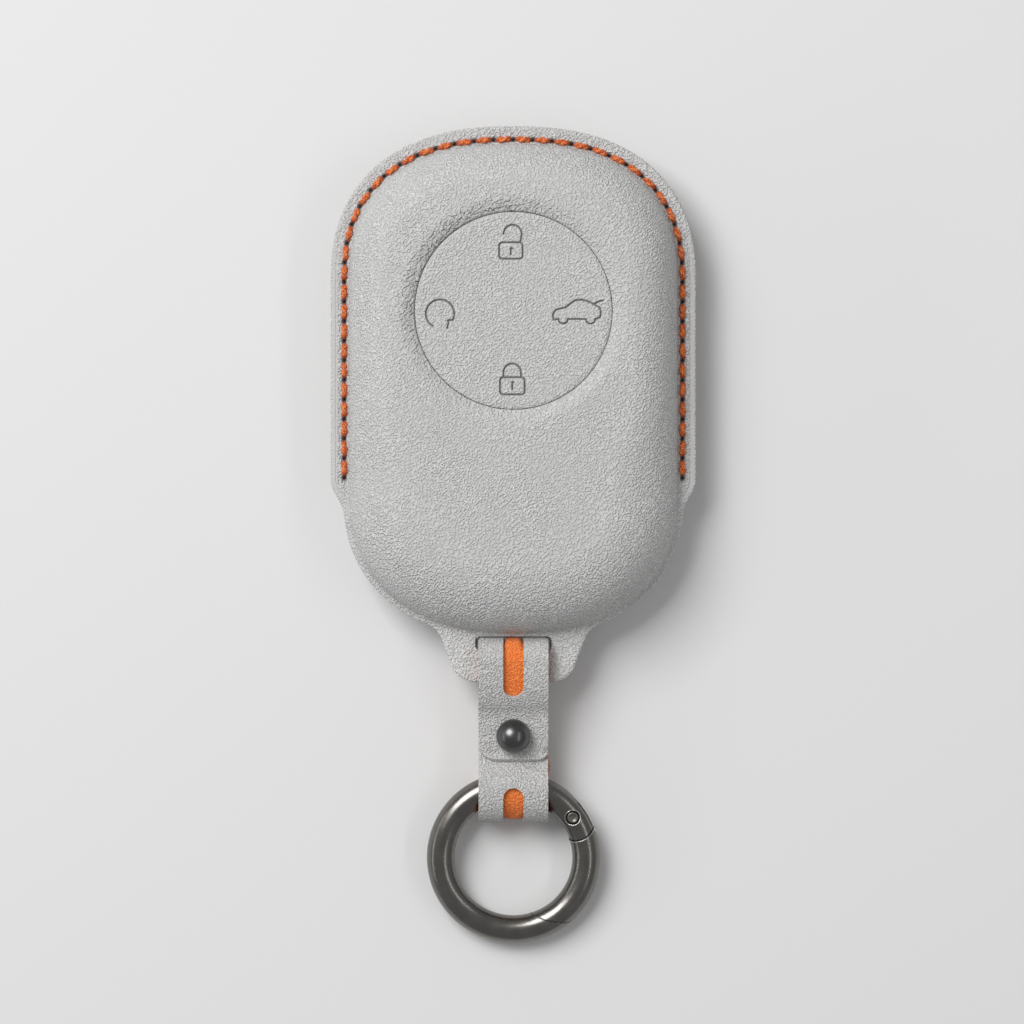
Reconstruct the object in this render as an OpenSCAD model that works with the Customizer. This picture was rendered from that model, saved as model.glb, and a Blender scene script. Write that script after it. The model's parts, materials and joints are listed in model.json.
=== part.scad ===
// Key fob cover: a moulded suede pocket, stitched round the top and sides, with a strap,
// a ball stud and a spring-gate ring. It lies on its back: +Z is the front, +Y its top.

/* [Pocket] */
// Width of the domed part, between its foot lines
dome_w = 47; // [44:0.5:52]
// Height from the middle of the back to the top of the domes
dome_top = 33.7; // [32:0.5:38]
// Distance from the middle of the back to the lower end of the domes
dome_bottom = 36.2; // [34:0.5:40]
// Height of the upper round, above which the sides curve in
top_round_h = 19.5; // [17:0.5:22]
// Height of the lower round
bottom_round_h = 19.7; // [17:0.5:22]
// Rise of the front dome above the seam flange
front_rise = 7.8; // [7:0.1:10]
// Depth of the back dome behind the seam flange
back_rise = 5; // [4.4:0.1:7]
// Width over which the front dome rounds over at the sides and the top
front_round_w = 7; // [6:0.1:8]
// Width over which the front dome rounds over at its lower end
front_round_w_low = 10; // [7:0.1:12]
// Width over which the back dome rounds over
back_round_w = 6; // [4:0.1:8]
// Soft crown on the flat of the front dome
front_crown = 0.35; // [0.1:0.05:0.5]

/* [Panels] */
// Thickness of the suede
suede_t = 0.7; // [0.6:0.05:0.9]
// Thickness of the moulded stiffener
core_t = 1; // [0.8:0.05:1.4]
// Thickness of the lining
lining_t = 0.3; // [0.25:0.01:0.4]
// Gap left between glued layers
glue_gap = 0.02; // [0.02:0.005:0.04]

/* [Seam flange] */
// Width of the stitched flange outside the domes
flange_w = 2.7; // [2.5:0.05:3.2]
// Width of the plain lip round the mouth
lip_w = 0.95; // [0.8:0.05:1.3]
// Height below the middle where the flange starts to narrow
flange_end = 14.5; // [12:0.5:16]
// Length over which the flange narrows to the lip
flange_taper = 4.5; // [3:0.5:5]

/* [Seam] */
// Pitch of the stitches
stitch_pitch = 2.8; // [2.4:0.05:3.4]
// Length of one stitch that shows
stitch_len = 2.2; // [1.8:0.05:2.3]
// Diameter of the thread
thread_d = 0.8; // [0.6:0.05:0.9]
// Distance of the seam from the flange's outer edge
seam_inset = 2.05; // [1.9:0.05:2.1]
// Height below the middle where the seam starts
seam_start = 14.1; // [12:0.1:14.4]

/* [Press disc] */
// Diameter of the disc that gives under a thumb
disc_d = 28; // [24:0.5:28.4]
// Height of the disc's centre above the middle of the back
disc_y = 9.6; // [9:0.1:10.6]
// Width of the groove round the disc
groove_w = 0.2; // [0.15:0.01:0.25]
// Depth of the disc below the dome
dish_depth = 0.75; // [0.5:0.05:1]
// Width of the slope from the dome down to the disc
dish_slope_w = 1.9; // [1.5:0.1:2]
// Flat rim round the groove, at the disc's own level
dish_rim_w = 0.2; // [0.15:0.01:0.3]
// Width by which the stiffener's window clears the disc
window_clear = 0.8; // [0.6:0.05:1]

/* [Tab] */
// Distance of the tab's lower edge below the domes' end
tab_len = 7.2; // [6.8:0.1:8]
// Distance of the slot's upper edge below the domes' end
slot_drop = 0.6; // [0.5:0.05:0.8]
// Height of the slot
slot_h = 2; // [1.9:0.05:2.2]
// Width of the slot
slot_w = 10.8; // [10.7:0.1:12]
// Corner radius of the slot
slot_corner_r = 0.5; // [0.3:0.05:0.8]
// Radius of the tab's lower corners
tab_corner_r = 3.6; // [2.4:0.1:3.8]
// Distance of those corners' centres from the middle
tab_corner_x = 5.45; // [5.2:0.05:6.4]
// Radius of the hollow where the tab leaves the lip
tab_fillet_r = 3; // [2.5:0.1:3.5]
// Distance of that hollow's centre from the middle
tab_fillet_x = 13.15; // [13:0.05:13.6]
// Drop of that hollow's centre below the domes' end
tab_fillet_drop = 1.9; // [1.7:0.1:2.1]

/* [Strap] */
// Width of the strap
strap_w = 10; // [8.5:0.1:10.2]
// Thickness of the strap's suede
strap_suede_t = 0.7; // [0.6:0.05:0.8]
// Thickness of the strap's lining
strap_lining_t = 0.4; // [0.3:0.05:0.5]
// Slack between the strap's layers at the stud
strap_slack = 0.05; // [0.03:0.01:0.08]
// Half of the room inside the upper fold, round the tab's bar
bar_gap = 2; // [1.9:0.05:2.05]
// Half of the room inside the lower fold, round the ring
ring_gap = 2.95; // [2.9:0.05:3.2]
// Reach of the upper fold above the middle of the bar
fold_reach = 4; // [3.9:0.05:4.1]
// Distance from the middle of the bar to the ring's hinge line
ring_u = 18.2; // [17.8:0.1:19]
// Distance from the middle of the bar to the stud
stud_u = 9.8; // [9.5:0.1:10.2]
// Distance from the middle of the bar to the flap's end
flap_end_u = 13.7; // [13.4:0.1:14]
// Corner radius of the flap's end
flap_corner_r = 1.6; // [1:0.1:2]
// Distance from the middle of the bar to the inner end of the strap
inner_end_u = 7.3; // [7:0.1:7.6]
// Width of the two long windows
slit_w = 2.9; // [2:0.1:3.2]
// Distance from the middle of the bar to the upper window's end
slit_top_u = 4.2; // [3:0.1:4.5]
// Distance from the middle of the bar to the lower window's end
slit_low_u = 17.1; // [16:0.1:17.5]

/* [Stud] */
// Diameter of the stud's ball
ball_d = 4.9; // [4.5:0.1:5]
// Height of the ball's centre above its flat underside
ball_rise = 0.6; // [0.4:0.05:0.8]
// Diameter of the stud's neck
neck_d = 2.5; // [2.4:0.05:2.6]
// Diameter of the screw's shank
shank_d = 1.8; // [1.6:0.05:1.85]
// Clearance of the shank in its holes, on the diameter
shank_fit = 0.1; // [0.05:0.01:0.15]
// Diameter of the screw's head
screw_head_d = 4.4; // [4:0.1:4.8]
// Thickness of the screw's head
screw_head_t = 0.7; // [0.5:0.05:0.8]
// Width of the driver slot
driver_slot_w = 0.6; // [0.5:0.05:0.8]

/* [Ring] */
// Diameter of the ring along the middle of its tube
ring_d = 21; // [20.8:0.1:21.4]
// Diameter of the ring's tube
tube_d = 4; // [3.8:0.05:4]
// Distance from the hinge line to the middle of the tube
ring_lead = 0.8; // [0.75:0.05:0.85]
// Thickness of the gate's tongue
tongue_t = 1.5; // [1.4:0.05:1.6]
// Gap on each side of the tongue
tongue_gap = 0.15; // [0.12:0.01:0.2]
// Radius of the joint line round the rivet
knuckle_r = 3.4; // [3.3:0.05:3.5]
// Width of the gate's joint lines
gate_gap = 0.15; // [0.1:0.01:0.2]
// Reach of the gate from the rivet
gate_reach = 15.4; // [15:0.1:15.8]
// Diameter of the rivet
rivet_d = 1.5; // [1.4:0.05:1.6]
// Depth of the rivet's head below the crown of the tube
rivet_sink = 0.11; // [0.08:0.01:0.15]
// Diameter of the rivet's head
rivet_head_d = 2.1; // [2:0.05:2.2]
// Thickness of the rivet's head
rivet_head_t = 0.25; // [0.2:0.01:0.3]
// Running clearance of the gate on the rivet, on the radius
rivet_fit = 0.05; // [0.03:0.01:0.08]
// Diameter of the gate spring
spring_d = 1.5; // [1.4:0.05:1.6]
// Wire of the gate spring
spring_wire = 0.25; // [0.2:0.01:0.3]
// Length of the plunger that bears on the gate's heel
plunger_len = 1.2; // [1:0.1:1.4]

/* [Hidden] */

// Smoothness of round pieces
$fn = 64;

// One overrun serves every cut
cut = 1.5;

// Half widths and levels of the pocket
half_w = dome_w / 2;
flange_t = suede_t + lining_t;
seam_z = back_rise + flange_t;
front_z = seam_z + flange_t;
disc_r = disc_d / 2;
hole_r = disc_r + groove_w;

// Roundness of the pocket's upper and lower ends, as exponents of a superellipse
top_power = 2.44;
bottom_power = 2.28;
top_start = dome_top - top_round_h;
bottom_start = bottom_round_h - dome_bottom;

// Rays of the domes, as angle steps in each round and stations along the side
dome_step = 9;
dome_side_shares = [0.2, 0.4, 0.6, 0.8];
edge_step = 3;
edge_side_steps = 24;
edge_side_shares = [for (i = [1:edge_side_steps - 1]) i / edge_side_steps];

// Angles at which a dome's rounding is drawn, from its foot to its flat
wall_angles = [0, 18, 36, 54, 72, 90];

function mix(a, b, t) = a + (b - a) * t;
function clamp01(t) = min(1, max(0, t));
function ease(t) = clamp01(t) * clamp01(t) * (3 - 2 * clamp01(t));
function flip(list) = [for (i = [len(list) - 1:-1:0]) list[i]];

// A foot-line point with its outward normal: [x, y, normal x, normal y]
function round_foot(angle, power, high, start, side) =
    let (c = pow(max(0, cos(angle)), 2 / power), s = pow(max(0, sin(angle)), 2 / power),
        n = [pow(c, power - 1) / half_w, side * pow(s, power - 1) / high])
    concat([half_w * c, start + side * high * s], n / norm(n));

// The right half of the foot line, from the top to the lower end
function half_foot(step, shares) = concat(
    [for (a = [90:-step:0]) round_foot(a, top_power, top_round_h, top_start, 1)],
    [for (t = shares) [half_w, mix(top_start, bottom_start, t), 1, 0]],
    [for (a = [0:step:90]) round_foot(a, bottom_power, bottom_round_h, bottom_start, -1)]);

// The whole foot line, clockwise from the top
function whole_foot(half) = concat(half,
    [for (i = [len(half) - 2:-1:1]) [-half[i][0], half[i][1], -half[i][2], half[i][3]]]);

dome_foot = whole_foot(half_foot(dome_step, dome_side_shares));
edge_foot = whole_foot(half_foot(edge_step, edge_side_shares));

function flange_at(y) = mix(lip_w, flange_w, ease((y + flange_end + flange_taper) / flange_taper));
function outward(foot, d) = [foot[0] + foot[2] * d, foot[1] + foot[3] * d];

// Width of the rounding beside a foot point, wider towards the lower end
function round_w_at(y, side_w, low_w) = mix(low_w, side_w, ease((y - bottom_start) / top_start));

// Rise of the soft crown at a point of the dome's flat
function crown_at(p, crown) =
    let (q = pow(p[0] / half_w, 2) + pow(p[1] / dome_bottom, 2))
    crown * pow(max(0, 1 - q), 2);

disc_centre = [0, disc_y];

// Rings of one face of a dome, k inside the outer face, from the foot inwards
function dome_rings(rise, side_w, low_w, crown, dish, k, base) = concat(
    [[for (f = dome_foot) concat(outward(f, -k), [-base])]],
    [for (a = wall_angles) [for (f = dome_foot)
        let (w = round_w_at(f[1], side_w, low_w), p = outward(f, -k - (w - k) * (1 - cos(a))))
        concat(p, [(rise - k + crown_at(p, crown)) * sin(a)])]],
    [for (s = [0:3]) [for (f = dome_foot)
        let (w = round_w_at(f[1], side_w, low_w), q = outward(f, -w), v = q - disc_centre,
            rim = hole_r + dish_rim_w, brim = min(rim + dish_slope_w, norm(v)),
            r = s == 0 ? (norm(v) + brim) / 2 : mix(brim, rim, (s - 1) / 2),
            p = disc_centre + v / norm(v) * r, high = rise + crown_at(p, crown),
            low = rise - dish)
        concat(p, [mix(high, low, s == 0 ? 0 : ease((s - 1) / 2)) - k])]]);

// Triangles of one face of a dome of m rings of n points: its bands, and a cap at its last point
function face_mesh(m, n) = concat(
    [for (i = [0:m - 2], j = [0:n - 1]) let (a = i * n, next = (j + 1) % n)
        each [[a + j, a + next, a + n + next], [a + j, a + n + next, a + n + j]]],
    [for (j = [0:n - 1]) [(m - 1) * n + j, (m - 1) * n + (j + 1) % n, m * n]]);

// A closed dome wall between two faces, k0 and k1 inside the outer face
module dome(rise, side_w, low_w, crown, dish, k0, k1, base) {
    n = len(dome_foot);
    outer = dome_rings(rise, side_w, low_w, crown, dish, k0, base);
    inner = dome_rings(rise, side_w, low_w, crown, dish, k1, base);
    size = len(outer) * n + 1;
    points = concat([for (r = outer) each r], [concat(disc_centre, [rise - dish - k0])],
        [for (r = inner) each r], [concat(disc_centre, [rise - dish - k1])]);
    mesh = face_mesh(len(outer), n);
    foot = [for (j = [0:n - 1]) let (next = (j + 1) % n)
        each [[size + next, next, j], [size + j, size + next, j]]];
    polyhedron(points, concat(mesh, [for (f = mesh) flip([for (v = f) v + size])], foot), convexity = 6);
}

// One layer of the flange and the tab, from z0 up by t, open inside the foot line by k
module flange_layer(t, k) {
    linear_extrude(t) difference() {
        union() {
            polygon([for (f = edge_foot) outward(f, flange_at(f[1]))]);
            tab_outline();
        }
        polygon([for (f = dome_foot) outward(f, -k)]);
        slot_outline();
    }
}

tab_bottom = -dome_bottom - tab_len;
slot_top = -dome_bottom - slot_drop;
bar_y = (slot_top - slot_h + tab_bottom) / 2;

// Points along an arc, from angle a0 to angle a1
arc_steps = 10;
function arc(centre, r, a0, a1) = [for (i = [0:arc_steps])
    let (a = mix(a0, a1, i / arc_steps)) centre + r * [cos(a), sin(a)]];

// The tab narrows by its taper between the hollows at the lip and its lower corners
tab_taper = 23;
tab_tangent = 112;

module tab_outline() {
    top = flange_w - dome_bottom;
    right = concat([[0, top], [tab_corner_x, top]],
        arc([tab_fillet_x, -dome_bottom - tab_fillet_drop], tab_fillet_r, tab_tangent, 180 - tab_taper),
        arc([tab_corner_x, tab_bottom + tab_corner_r], tab_corner_r, -tab_taper, -90),
        [[0, tab_bottom]]);
    polygon(right);
    mirror([1, 0]) polygon(right);
}

module slot_outline() {
    translate([0, slot_top - slot_h / 2]) round_bar(slot_w, slot_h, slot_corner_r);
}

module round_bar(w, h, r) {
    square([w - 2 * r, h], center = true);
    square([w, h - 2 * r], center = true);
    for (x = [-1, 1], y = [-1, 1]) translate([x * (w / 2 - r), y * (h / 2 - r)]) circle(r);
}

module front_dome(k0, k1, base) {
    dome(front_rise, front_round_w, front_round_w_low, front_crown, dish_depth, k0, k1, base);
}

module back_dome(k0, k1, base) {
    dome(back_rise, back_round_w, back_round_w, 0, 0, k0, k1, base);
}

// Lifts its children so that their zero is the front flange's face, looking forwards
module at_front() {
    translate([0, 0, front_z]) children();
}

// Turns its children over, so that their zero is the back flange's face, looking backwards
module at_back() {
    translate([0, 0, back_rise]) mirror([0, 0, 1]) children();
}

core_k = suede_t + glue_gap;
lining_k = suede_t + core_t + glue_gap;
wall_k = suede_t + core_t + lining_t;
lining_sheet = lining_t - glue_gap;

module disc_hole(r) {
    translate([0, disc_y, 0]) cylinder(h = front_rise + cut, r = r);
}

module front_skin() {
    color("#C2C2C0") at_front() difference() {
        union() {
            front_dome(0, suede_t, suede_t);
            translate([0, 0, -suede_t]) flange_layer(suede_t, suede_t / 2);
        }
        disc_hole(hole_r);
    }
}

module front_core() {
    color("#4A4A4C") at_front() difference() {
        front_dome(core_k, core_k + core_t - glue_gap, suede_t);
        disc_hole(hole_r + window_clear);
    }
}

module front_lining() {
    color("#8C8C8C") at_front() difference() {
        union() {
            front_dome(lining_k, wall_k, flange_t - glue_gap);
            translate([0, 0, -flange_t + glue_gap])
                flange_layer(lining_sheet - glue_gap, (lining_k + wall_k) / 2);
        }
        disc_hole(hole_r);
    }
}

disc_z = front_z + front_rise - dish_depth;

module press_disc() {
    color("#C6C6C4") translate([0, disc_y, disc_z - suede_t]) cylinder(h = suede_t, r = disc_r);
}

module disc_backing() {
    color("#8C8C8C") translate([0, disc_y, disc_z - suede_t - lining_t])
        cylinder(h = lining_sheet, r = disc_r);
}

module back_skin() {
    color("#BCBCBA") at_back() union() {
        back_dome(0, suede_t, suede_t);
        translate([0, 0, -suede_t]) flange_layer(suede_t, suede_t / 2);
    }
}

module back_core() {
    color("#4A4A4C") at_back() back_dome(core_k, core_k + core_t - glue_gap, suede_t);
}

module back_lining() {
    color("#8C8C8C") at_back() union() {
        back_dome(lining_k, wall_k, flange_t);
        translate([0, 0, -flange_t]) flange_layer(lining_sheet, (lining_k + wall_k) / 2);
    }
}

// The seam's line, from its start on the right, over the top, to its end on the left
seam_half = flip([for (f = half_foot(edge_step, edge_side_shares)) if (f[1] > -seam_start)
    outward(f, flange_w - seam_inset)]);
seam_line = concat([[half_w + flange_w - seam_inset, -seam_start]], seam_half,
    [for (i = [len(seam_half) - 2:-1:0]) [-seam_half[i][0], seam_half[i][1]]],
    [[-half_w - flange_w + seam_inset, -seam_start]]);
seam_run = [for (i = 0, s = 0; i < len(seam_line);
    s = s + (i + 1 < len(seam_line) ? norm(seam_line[i + 1] - seam_line[i]) : 0), i = i + 1) s];
seam_x = [for (i = [0:len(seam_line) - 1]) [seam_run[i], seam_line[i][0]]];
seam_y = [for (i = [0:len(seam_line) - 1]) [seam_run[i], seam_line[i][1]]];
seam_len = seam_run[len(seam_run) - 1];
stitch_count = floor(seam_len / stitch_pitch);

function on_seam(s) = [lookup(s, seam_x), lookup(s, seam_y)];

// Each stitch lies on the flange, between its two needle holes
module stitches() {
    for (i = [0:stitch_count - 1]) {
        mid = (i + 0.5) * seam_len / stitch_count;
        a = on_seam(mid - stitch_len / 2);
        b = on_seam(mid + stitch_len / 2);
        c = (a + b) / 2;
        v = b - a;
        translate([c[0], c[1], thread_d / 2 + glue_gap]) rotate([0, 90, atan2(v[1], v[0])])
            cylinder(h = norm(v), d = thread_d, center = true);
    }
}

module front_stitches() {
    color("#E8682A") at_front() stitches();
}

module back_stitches() {
    color("#E8682A") at_back() stitches();
}

// The strap is drawn in its own frame: u runs from the middle of the tab's bar to the ring,
// w towards its front, and the frame slopes so that its lower fold rests on the ground
strap_t = strap_suede_t + strap_lining_t;
strap_slope = asin((seam_z - ring_gap - strap_t) / ring_u);
fold_u = bar_gap + strap_t - fold_reach;
bar_half = (slot_top - slot_h - tab_bottom) / 2;
stack_w = strap_t / 2;
pinch_u = stud_u - screw_head_d / 2 - strap_slack;
rise_u = stud_u + screw_head_d / 2 + strap_slack;
full_u = ring_u - ring_lead;

module strap_frame() {
    translate([0, bar_y, seam_z]) rotate([strap_slope, 0, 0]) children();
}

// Height of the front leg's outer face, which the flap lies on
function front_leg(u) = mix(stack_w, ring_gap + strap_t, ease((u - rise_u) / (full_u - rise_u)));
function front_slope(u) = (front_leg(u + glue_gap) - front_leg(u - glue_gap)) / (2 * glue_gap);
// Height of its inner face, a full thickness below across the slope
function front_under(u) = front_leg(u) - strap_t * norm([1, front_slope(u)]);
// Height of the back leg's inner face
function back_leg(u) =
    -mix(mix(bar_gap, stack_w + strap_slack, ease((u - bar_half) / (pinch_u - bar_half))), ring_gap,
        ease((u - rise_u) / (full_u - rise_u)));
// Height of the flap's inner face
function flap_leg(u) = max(front_leg(u) + strap_slack,
    mix(bar_gap, front_leg(u) + strap_slack, ease((u - bar_half) / (pinch_u - bar_half))));

leg_steps = 24;
fold_steps = 12;
leg_us = [for (i = [0:leg_steps]) mix(fold_u, ring_u, i / leg_steps)];
hinge_w = bar_gap + stack_w;
knuckle_clear = 0.15;
strap_start = (stack_w + knuckle_clear) / hinge_w * 180 / PI;

// Inner face of the strap, from beside the flap's hinge, round both folds, to its inner end
strap_path = concat(
    [for (i = [0:fold_steps]) let (a = mix(strap_start, 180, i / fold_steps))
        [fold_u - bar_gap * sin(a), bar_gap * cos(a)]],
    [for (i = [1:leg_steps - 1]) [leg_us[i], back_leg(leg_us[i])]],
    [for (i = [0:fold_steps]) let (a = mix(0, 180, i / fold_steps))
        [ring_u + ring_gap * sin(a), -ring_gap * cos(a)]],
    [for (i = [1:leg_steps / 2]) let (u = mix(ring_u, inner_end_u, 2 * i / leg_steps))
        [u, front_under(u)]]);
flap_path = flip([for (i = [0:leg_steps]) let (u = mix(fold_u, flap_end_u, i / leg_steps))
    [u, flap_leg(u)]]);

// A path moved sideways, away from the inside of the strap's loops
function beside(path, d) = [for (i = [0:len(path) - 1])
    let (v = path[min(i + 1, len(path) - 1)] - path[max(i - 1, 0)])
    path[i] + d * [v[1], -v[0]] / norm(v)];

// A strip between two distances from a path, as wide as the strap
module strip(path, d0, d1) {
    ring = concat(beside(path, d0), flip(beside(path, d1)));
    rotate([90, 0, 90]) linear_extrude(strap_w, center = true)
        polygon([for (p = ring) [-p[0], p[1]]]);
}

// An upright cut through the strap, round at both ends, from u0 to u1
module slit(u0, u1) {
    reach = ring_gap + strap_t + cut;
    for (u = [u0 + slit_w / 2, u1 - slit_w / 2])
        translate([0, -u, -reach]) cylinder(h = 2 * reach, d = slit_w);
    translate([-slit_w / 2, -u1 + slit_w / 2, -reach])
        cube([slit_w, u1 - u0 - slit_w, 2 * reach]);
}

module upper_slit() {
    slit(-fold_reach - cut - slit_w, slit_top_u);
}

module lower_slit() {
    slit(slit_low_u, ring_u + ring_gap + strap_t + cut + slit_w);
}

// An upright hole at the stud
module stud_hole(d) {
    translate([0, -stud_u, -ring_gap]) cylinder(h = 2 * ring_gap, d = d);
}

shank_hole_d = shank_d + 2 * shank_fit;

module strap_suede() {
    color("#C4C4C2") strap_frame() difference() {
        strip(strap_path, strap_lining_t + glue_gap, strap_t);
        upper_slit();
        lower_slit();
        stud_hole(shank_hole_d);
    }
}

module strap_lining() {
    color("#E8682A") strap_frame() difference() {
        strip(strap_path, 0, strap_lining_t);
        stud_hole(shank_hole_d);
    }
}

// The flap's hole clears the ball along the flap's arc, so it lies a little nearer the hinge
flap_hole_clear = 0.2;
flap_hole_shift = 0.1;

module flap_cuts() {
    translate([0, flap_hole_shift - stud_u, -ring_gap])
        cylinder(h = 2 * ring_gap, r = ball_d / 2 + flap_hole_clear);
    for (s = [0, 1]) mirror([s, 0, 0])
        translate([strap_w / 2 - flap_corner_r, flap_corner_r - flap_end_u, -ring_gap])
            difference() {
                translate([0, -flap_corner_r - cut, 0])
                    cube([flap_corner_r + cut, flap_corner_r + cut, 2 * ring_gap]);
                cylinder(h = 2 * ring_gap, r = flap_corner_r);
            }
}

module flap_suede() {
    color("#C8C8C6") strap_frame() difference() {
        union() {
            strip(flap_path, strap_lining_t + glue_gap, strap_t);
            difference() {
                translate([0, -fold_u, hinge_w]) rotate([0, 90, 0])
                    cylinder(h = strap_w, d = strap_t, center = true);
                translate([0, -fold_u - strap_t, bar_gap + strap_lining_t / 2 + glue_gap / 2])
                    cube([strap_w + cut, 2 * strap_t, strap_lining_t + glue_gap], center = true);
            }
        }
        upper_slit();
        flap_cuts();
    }
}

module flap_lining() {
    color("#E8682A") strap_frame() difference() {
        strip(flap_path, 0, strap_lining_t);
        flap_cuts();
    }
}

ball_w = stack_w + strap_t + strap_slack * 2 + ball_rise;
neck_w = stack_w + glue_gap;
screw_w = stack_w + strap_slack + strap_t + glue_gap;

module stud_head() {
    bore_depth = strap_t + ball_rise;
    color("#3C3C40") strap_frame() translate([0, -stud_u, 0]) difference() {
        union() {
            difference() {
                translate([0, 0, ball_w]) sphere(d = ball_d);
                translate([-ball_d / 2 - cut, -ball_d / 2 - cut, ball_w - ball_rise - ball_d])
                    cube([ball_d + 2 * cut, ball_d + 2 * cut, ball_d]);
            }
            translate([0, 0, neck_w]) cylinder(h = ball_w - neck_w, d = neck_d);
        }
        translate([0, 0, neck_w - cut]) cylinder(h = bore_depth + cut, d = shank_d + shank_fit);
    }
}

module stud_screw() {
    color("#505054") strap_frame() translate([0, -stud_u, 0]) {
        difference() {
            translate([0, 0, -screw_w - screw_head_t]) cylinder(h = screw_head_t, d = screw_head_d);
            translate([-driver_slot_w / 2, -screw_head_d, -screw_w - screw_head_t - cut])
                cube([driver_slot_w, 2 * screw_head_d, screw_head_t / 2 + cut]);
        }
        translate([0, 0, -screw_w - glue_gap]) cylinder(h = screw_w + neck_w + strap_t, d = shank_d);
    }
}

// The ring is drawn flat about its own centre, with its top towards the strap
ring_r = ring_d / 2;
tube_r = tube_d / 2;
hinge_y = bar_y - ring_u * cos(strap_slope);
hinge_z = ring_gap + strap_t;
ring_out = ring_r - ring_lead;
ring_slope = asin((hinge_z - tube_r) / (ring_out + ring_r));
rivet_angle = 35.7;
rivet_at = [ring_r * cos(rivet_angle), ring_r * sin(rivet_angle)];
gate_low_angle = -80;
gate_high_angle = 30;

module ring_frame() {
    translate([0, hinge_y, hinge_z]) rotate([ring_slope, 0, 0]) translate([0, -ring_out, 0]) children();
}

module at_rivet() {
    translate([rivet_at[0], rivet_at[1], 0]) children();
}

module tube_ring() {
    rotate_extrude($fn = 128) translate([ring_r, 0]) circle(tube_r);
}

// A slab of the ring's plane between two angles from its centre
module sector(a0, a1, t) {
    far = ring_d + tube_d;
    linear_extrude(t, center = true)
        polygon([[0, 0], for (i = [0:6]) far * [cos(mix(a0, a1, i / 6)), sin(mix(a0, a1, i / 6))]]);
}

// The space about the rivet that the gate fills, with its joint lines open by g
module gate_space(g) {
    difference() {
        intersection() {
            sector(gate_low_angle, gate_high_angle, tube_d + cut);
            at_rivet() cylinder(h = tube_d + cut, r = gate_reach + g, center = true);
        }
        at_rivet() cylinder(h = tube_d + 2 * cut, r = knuckle_r - g, center = true);
    }
}

heel_r = tube_r - tongue_gap;
rivet_seat = tube_r - rivet_sink - rivet_head_t;

module tongue(t, r, side) {
    at_rivet() cylinder(h = t, r = r, center = true);
    intersection() {
        rotate_extrude($fn = 128) translate([ring_r, 0]) square([2 * side, t], center = true);
        sector(0, rivet_angle, tube_d);
        at_rivet() cylinder(h = tube_d, r = knuckle_r + gate_gap + t / 2, center = true);
    }
}

// The spring's bore runs straight inside the tube, between two angles of the ring
bore_angles = [47.5, 71];
bore_start = ring_r * [cos(bore_angles[0]), sin(bore_angles[0])];
bore_end = ring_r * [cos(bore_angles[1]), sin(bore_angles[1])];
bore_dir = (bore_end - bore_start) / norm(bore_end - bore_start);
bore_clear = 0.12;
bore_len = norm(bore_end - bore_start);

// Stands its children on the spring's bore, a distance along it
module along_bore(s) {
    p = bore_start + bore_dir * s;
    translate([p[0], p[1], 0]) rotate([0, 0, atan2(bore_dir[1], bore_dir[0])])
        rotate([0, 90, 0]) children();
}

module ring_body() {
    slot_t = tongue_t + 2 * tongue_gap;
    color("#48484A") ring_frame() difference() {
        tube_ring();
        gate_space(gate_gap / 2);
        at_rivet() cylinder(h = slot_t, r = tube_r + tongue_gap, center = true);
        intersection() {
            sector(0, rivet_angle, slot_t);
            at_rivet() cylinder(h = slot_t, r = knuckle_r + cut, center = true);
        }
        at_rivet() cylinder(h = tube_d + cut, d = rivet_d + rivet_fit, center = true);
        for (s = [0, 1]) mirror([0, 0, s]) at_rivet() translate([0, 0, rivet_seat - glue_gap])
            cylinder(h = tube_r, d = rivet_head_d + 2 * rivet_fit);
        along_bore(-cut / 2) cylinder(h = bore_len + cut / 2, d = spring_d + 2 * bore_clear);
    }
}

module ring_gate() {
    color("#505052") ring_frame() difference() {
        union() {
            intersection() {
                tube_ring();
                gate_space(-gate_gap / 2);
            }
            tongue(tongue_t, heel_r, tube_r - tongue_gap);
        }
        at_rivet() cylinder(h = tube_d, d = rivet_d + 2 * rivet_fit, center = true);
    }
}

module gate_rivet() {
    color("#707074") ring_frame() at_rivet() {
        cylinder(h = 2 * rivet_seat, d = rivet_d, center = true);
        for (s = [0, 1]) mirror([0, 0, s]) translate([0, 0, rivet_seat])
            cylinder(h = rivet_head_t, d = rivet_head_d);
    }
}

// The plunger's nose stands just off the gate's heel
heel_gap = norm(bore_start - rivet_at) - heel_r;
plunger_nose = spring_d / 8;
plunger_at = glue_gap * 4 - heel_gap + plunger_nose;

module spring_plunger() {
    color("#808084") ring_frame() {
        along_bore(plunger_at) cylinder(h = plunger_len, d = spring_d);
        along_bore(plunger_at - plunger_nose) cylinder(h = plunger_nose, d1 = spring_d / 2, d2 = spring_d);
    }
}

module gate_spring() {
    s = plunger_at + plunger_len + glue_gap;
    color("#909094") ring_frame() difference() {
        along_bore(s) cylinder(h = bore_len - s - glue_gap, d = spring_d);
        along_bore(s - cut) cylinder(h = bore_len + 2 * cut, d = spring_d - 2 * spring_wire);
    }
}

front_skin();
front_core();
front_lining();
press_disc();
disc_backing();
back_skin();
back_core();
back_lining();
front_stitches();
back_stitches();
strap_suede();
strap_lining();
flap_suede();
flap_lining();
stud_head();
stud_screw();
ring_body();
ring_gate();
gate_rivet();
spring_plunger();
gate_spring();
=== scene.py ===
# %% [markdown]
# A moulded suede key fob cover lies on its back. Two domed suede panels are stitched together round
# the top and the sides, a strap goes through a slot in their tabs, and a ball stud closes it over a
# spring-gate ring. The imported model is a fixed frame: it says where each piece is and what moves it.
# This lesson builds the visible surfaces round that frame, each one as a function of two
# parameters worked out with numpy, and gives each one a finish made of shader nodes.

# %% Load the frame
import json
import math

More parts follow.
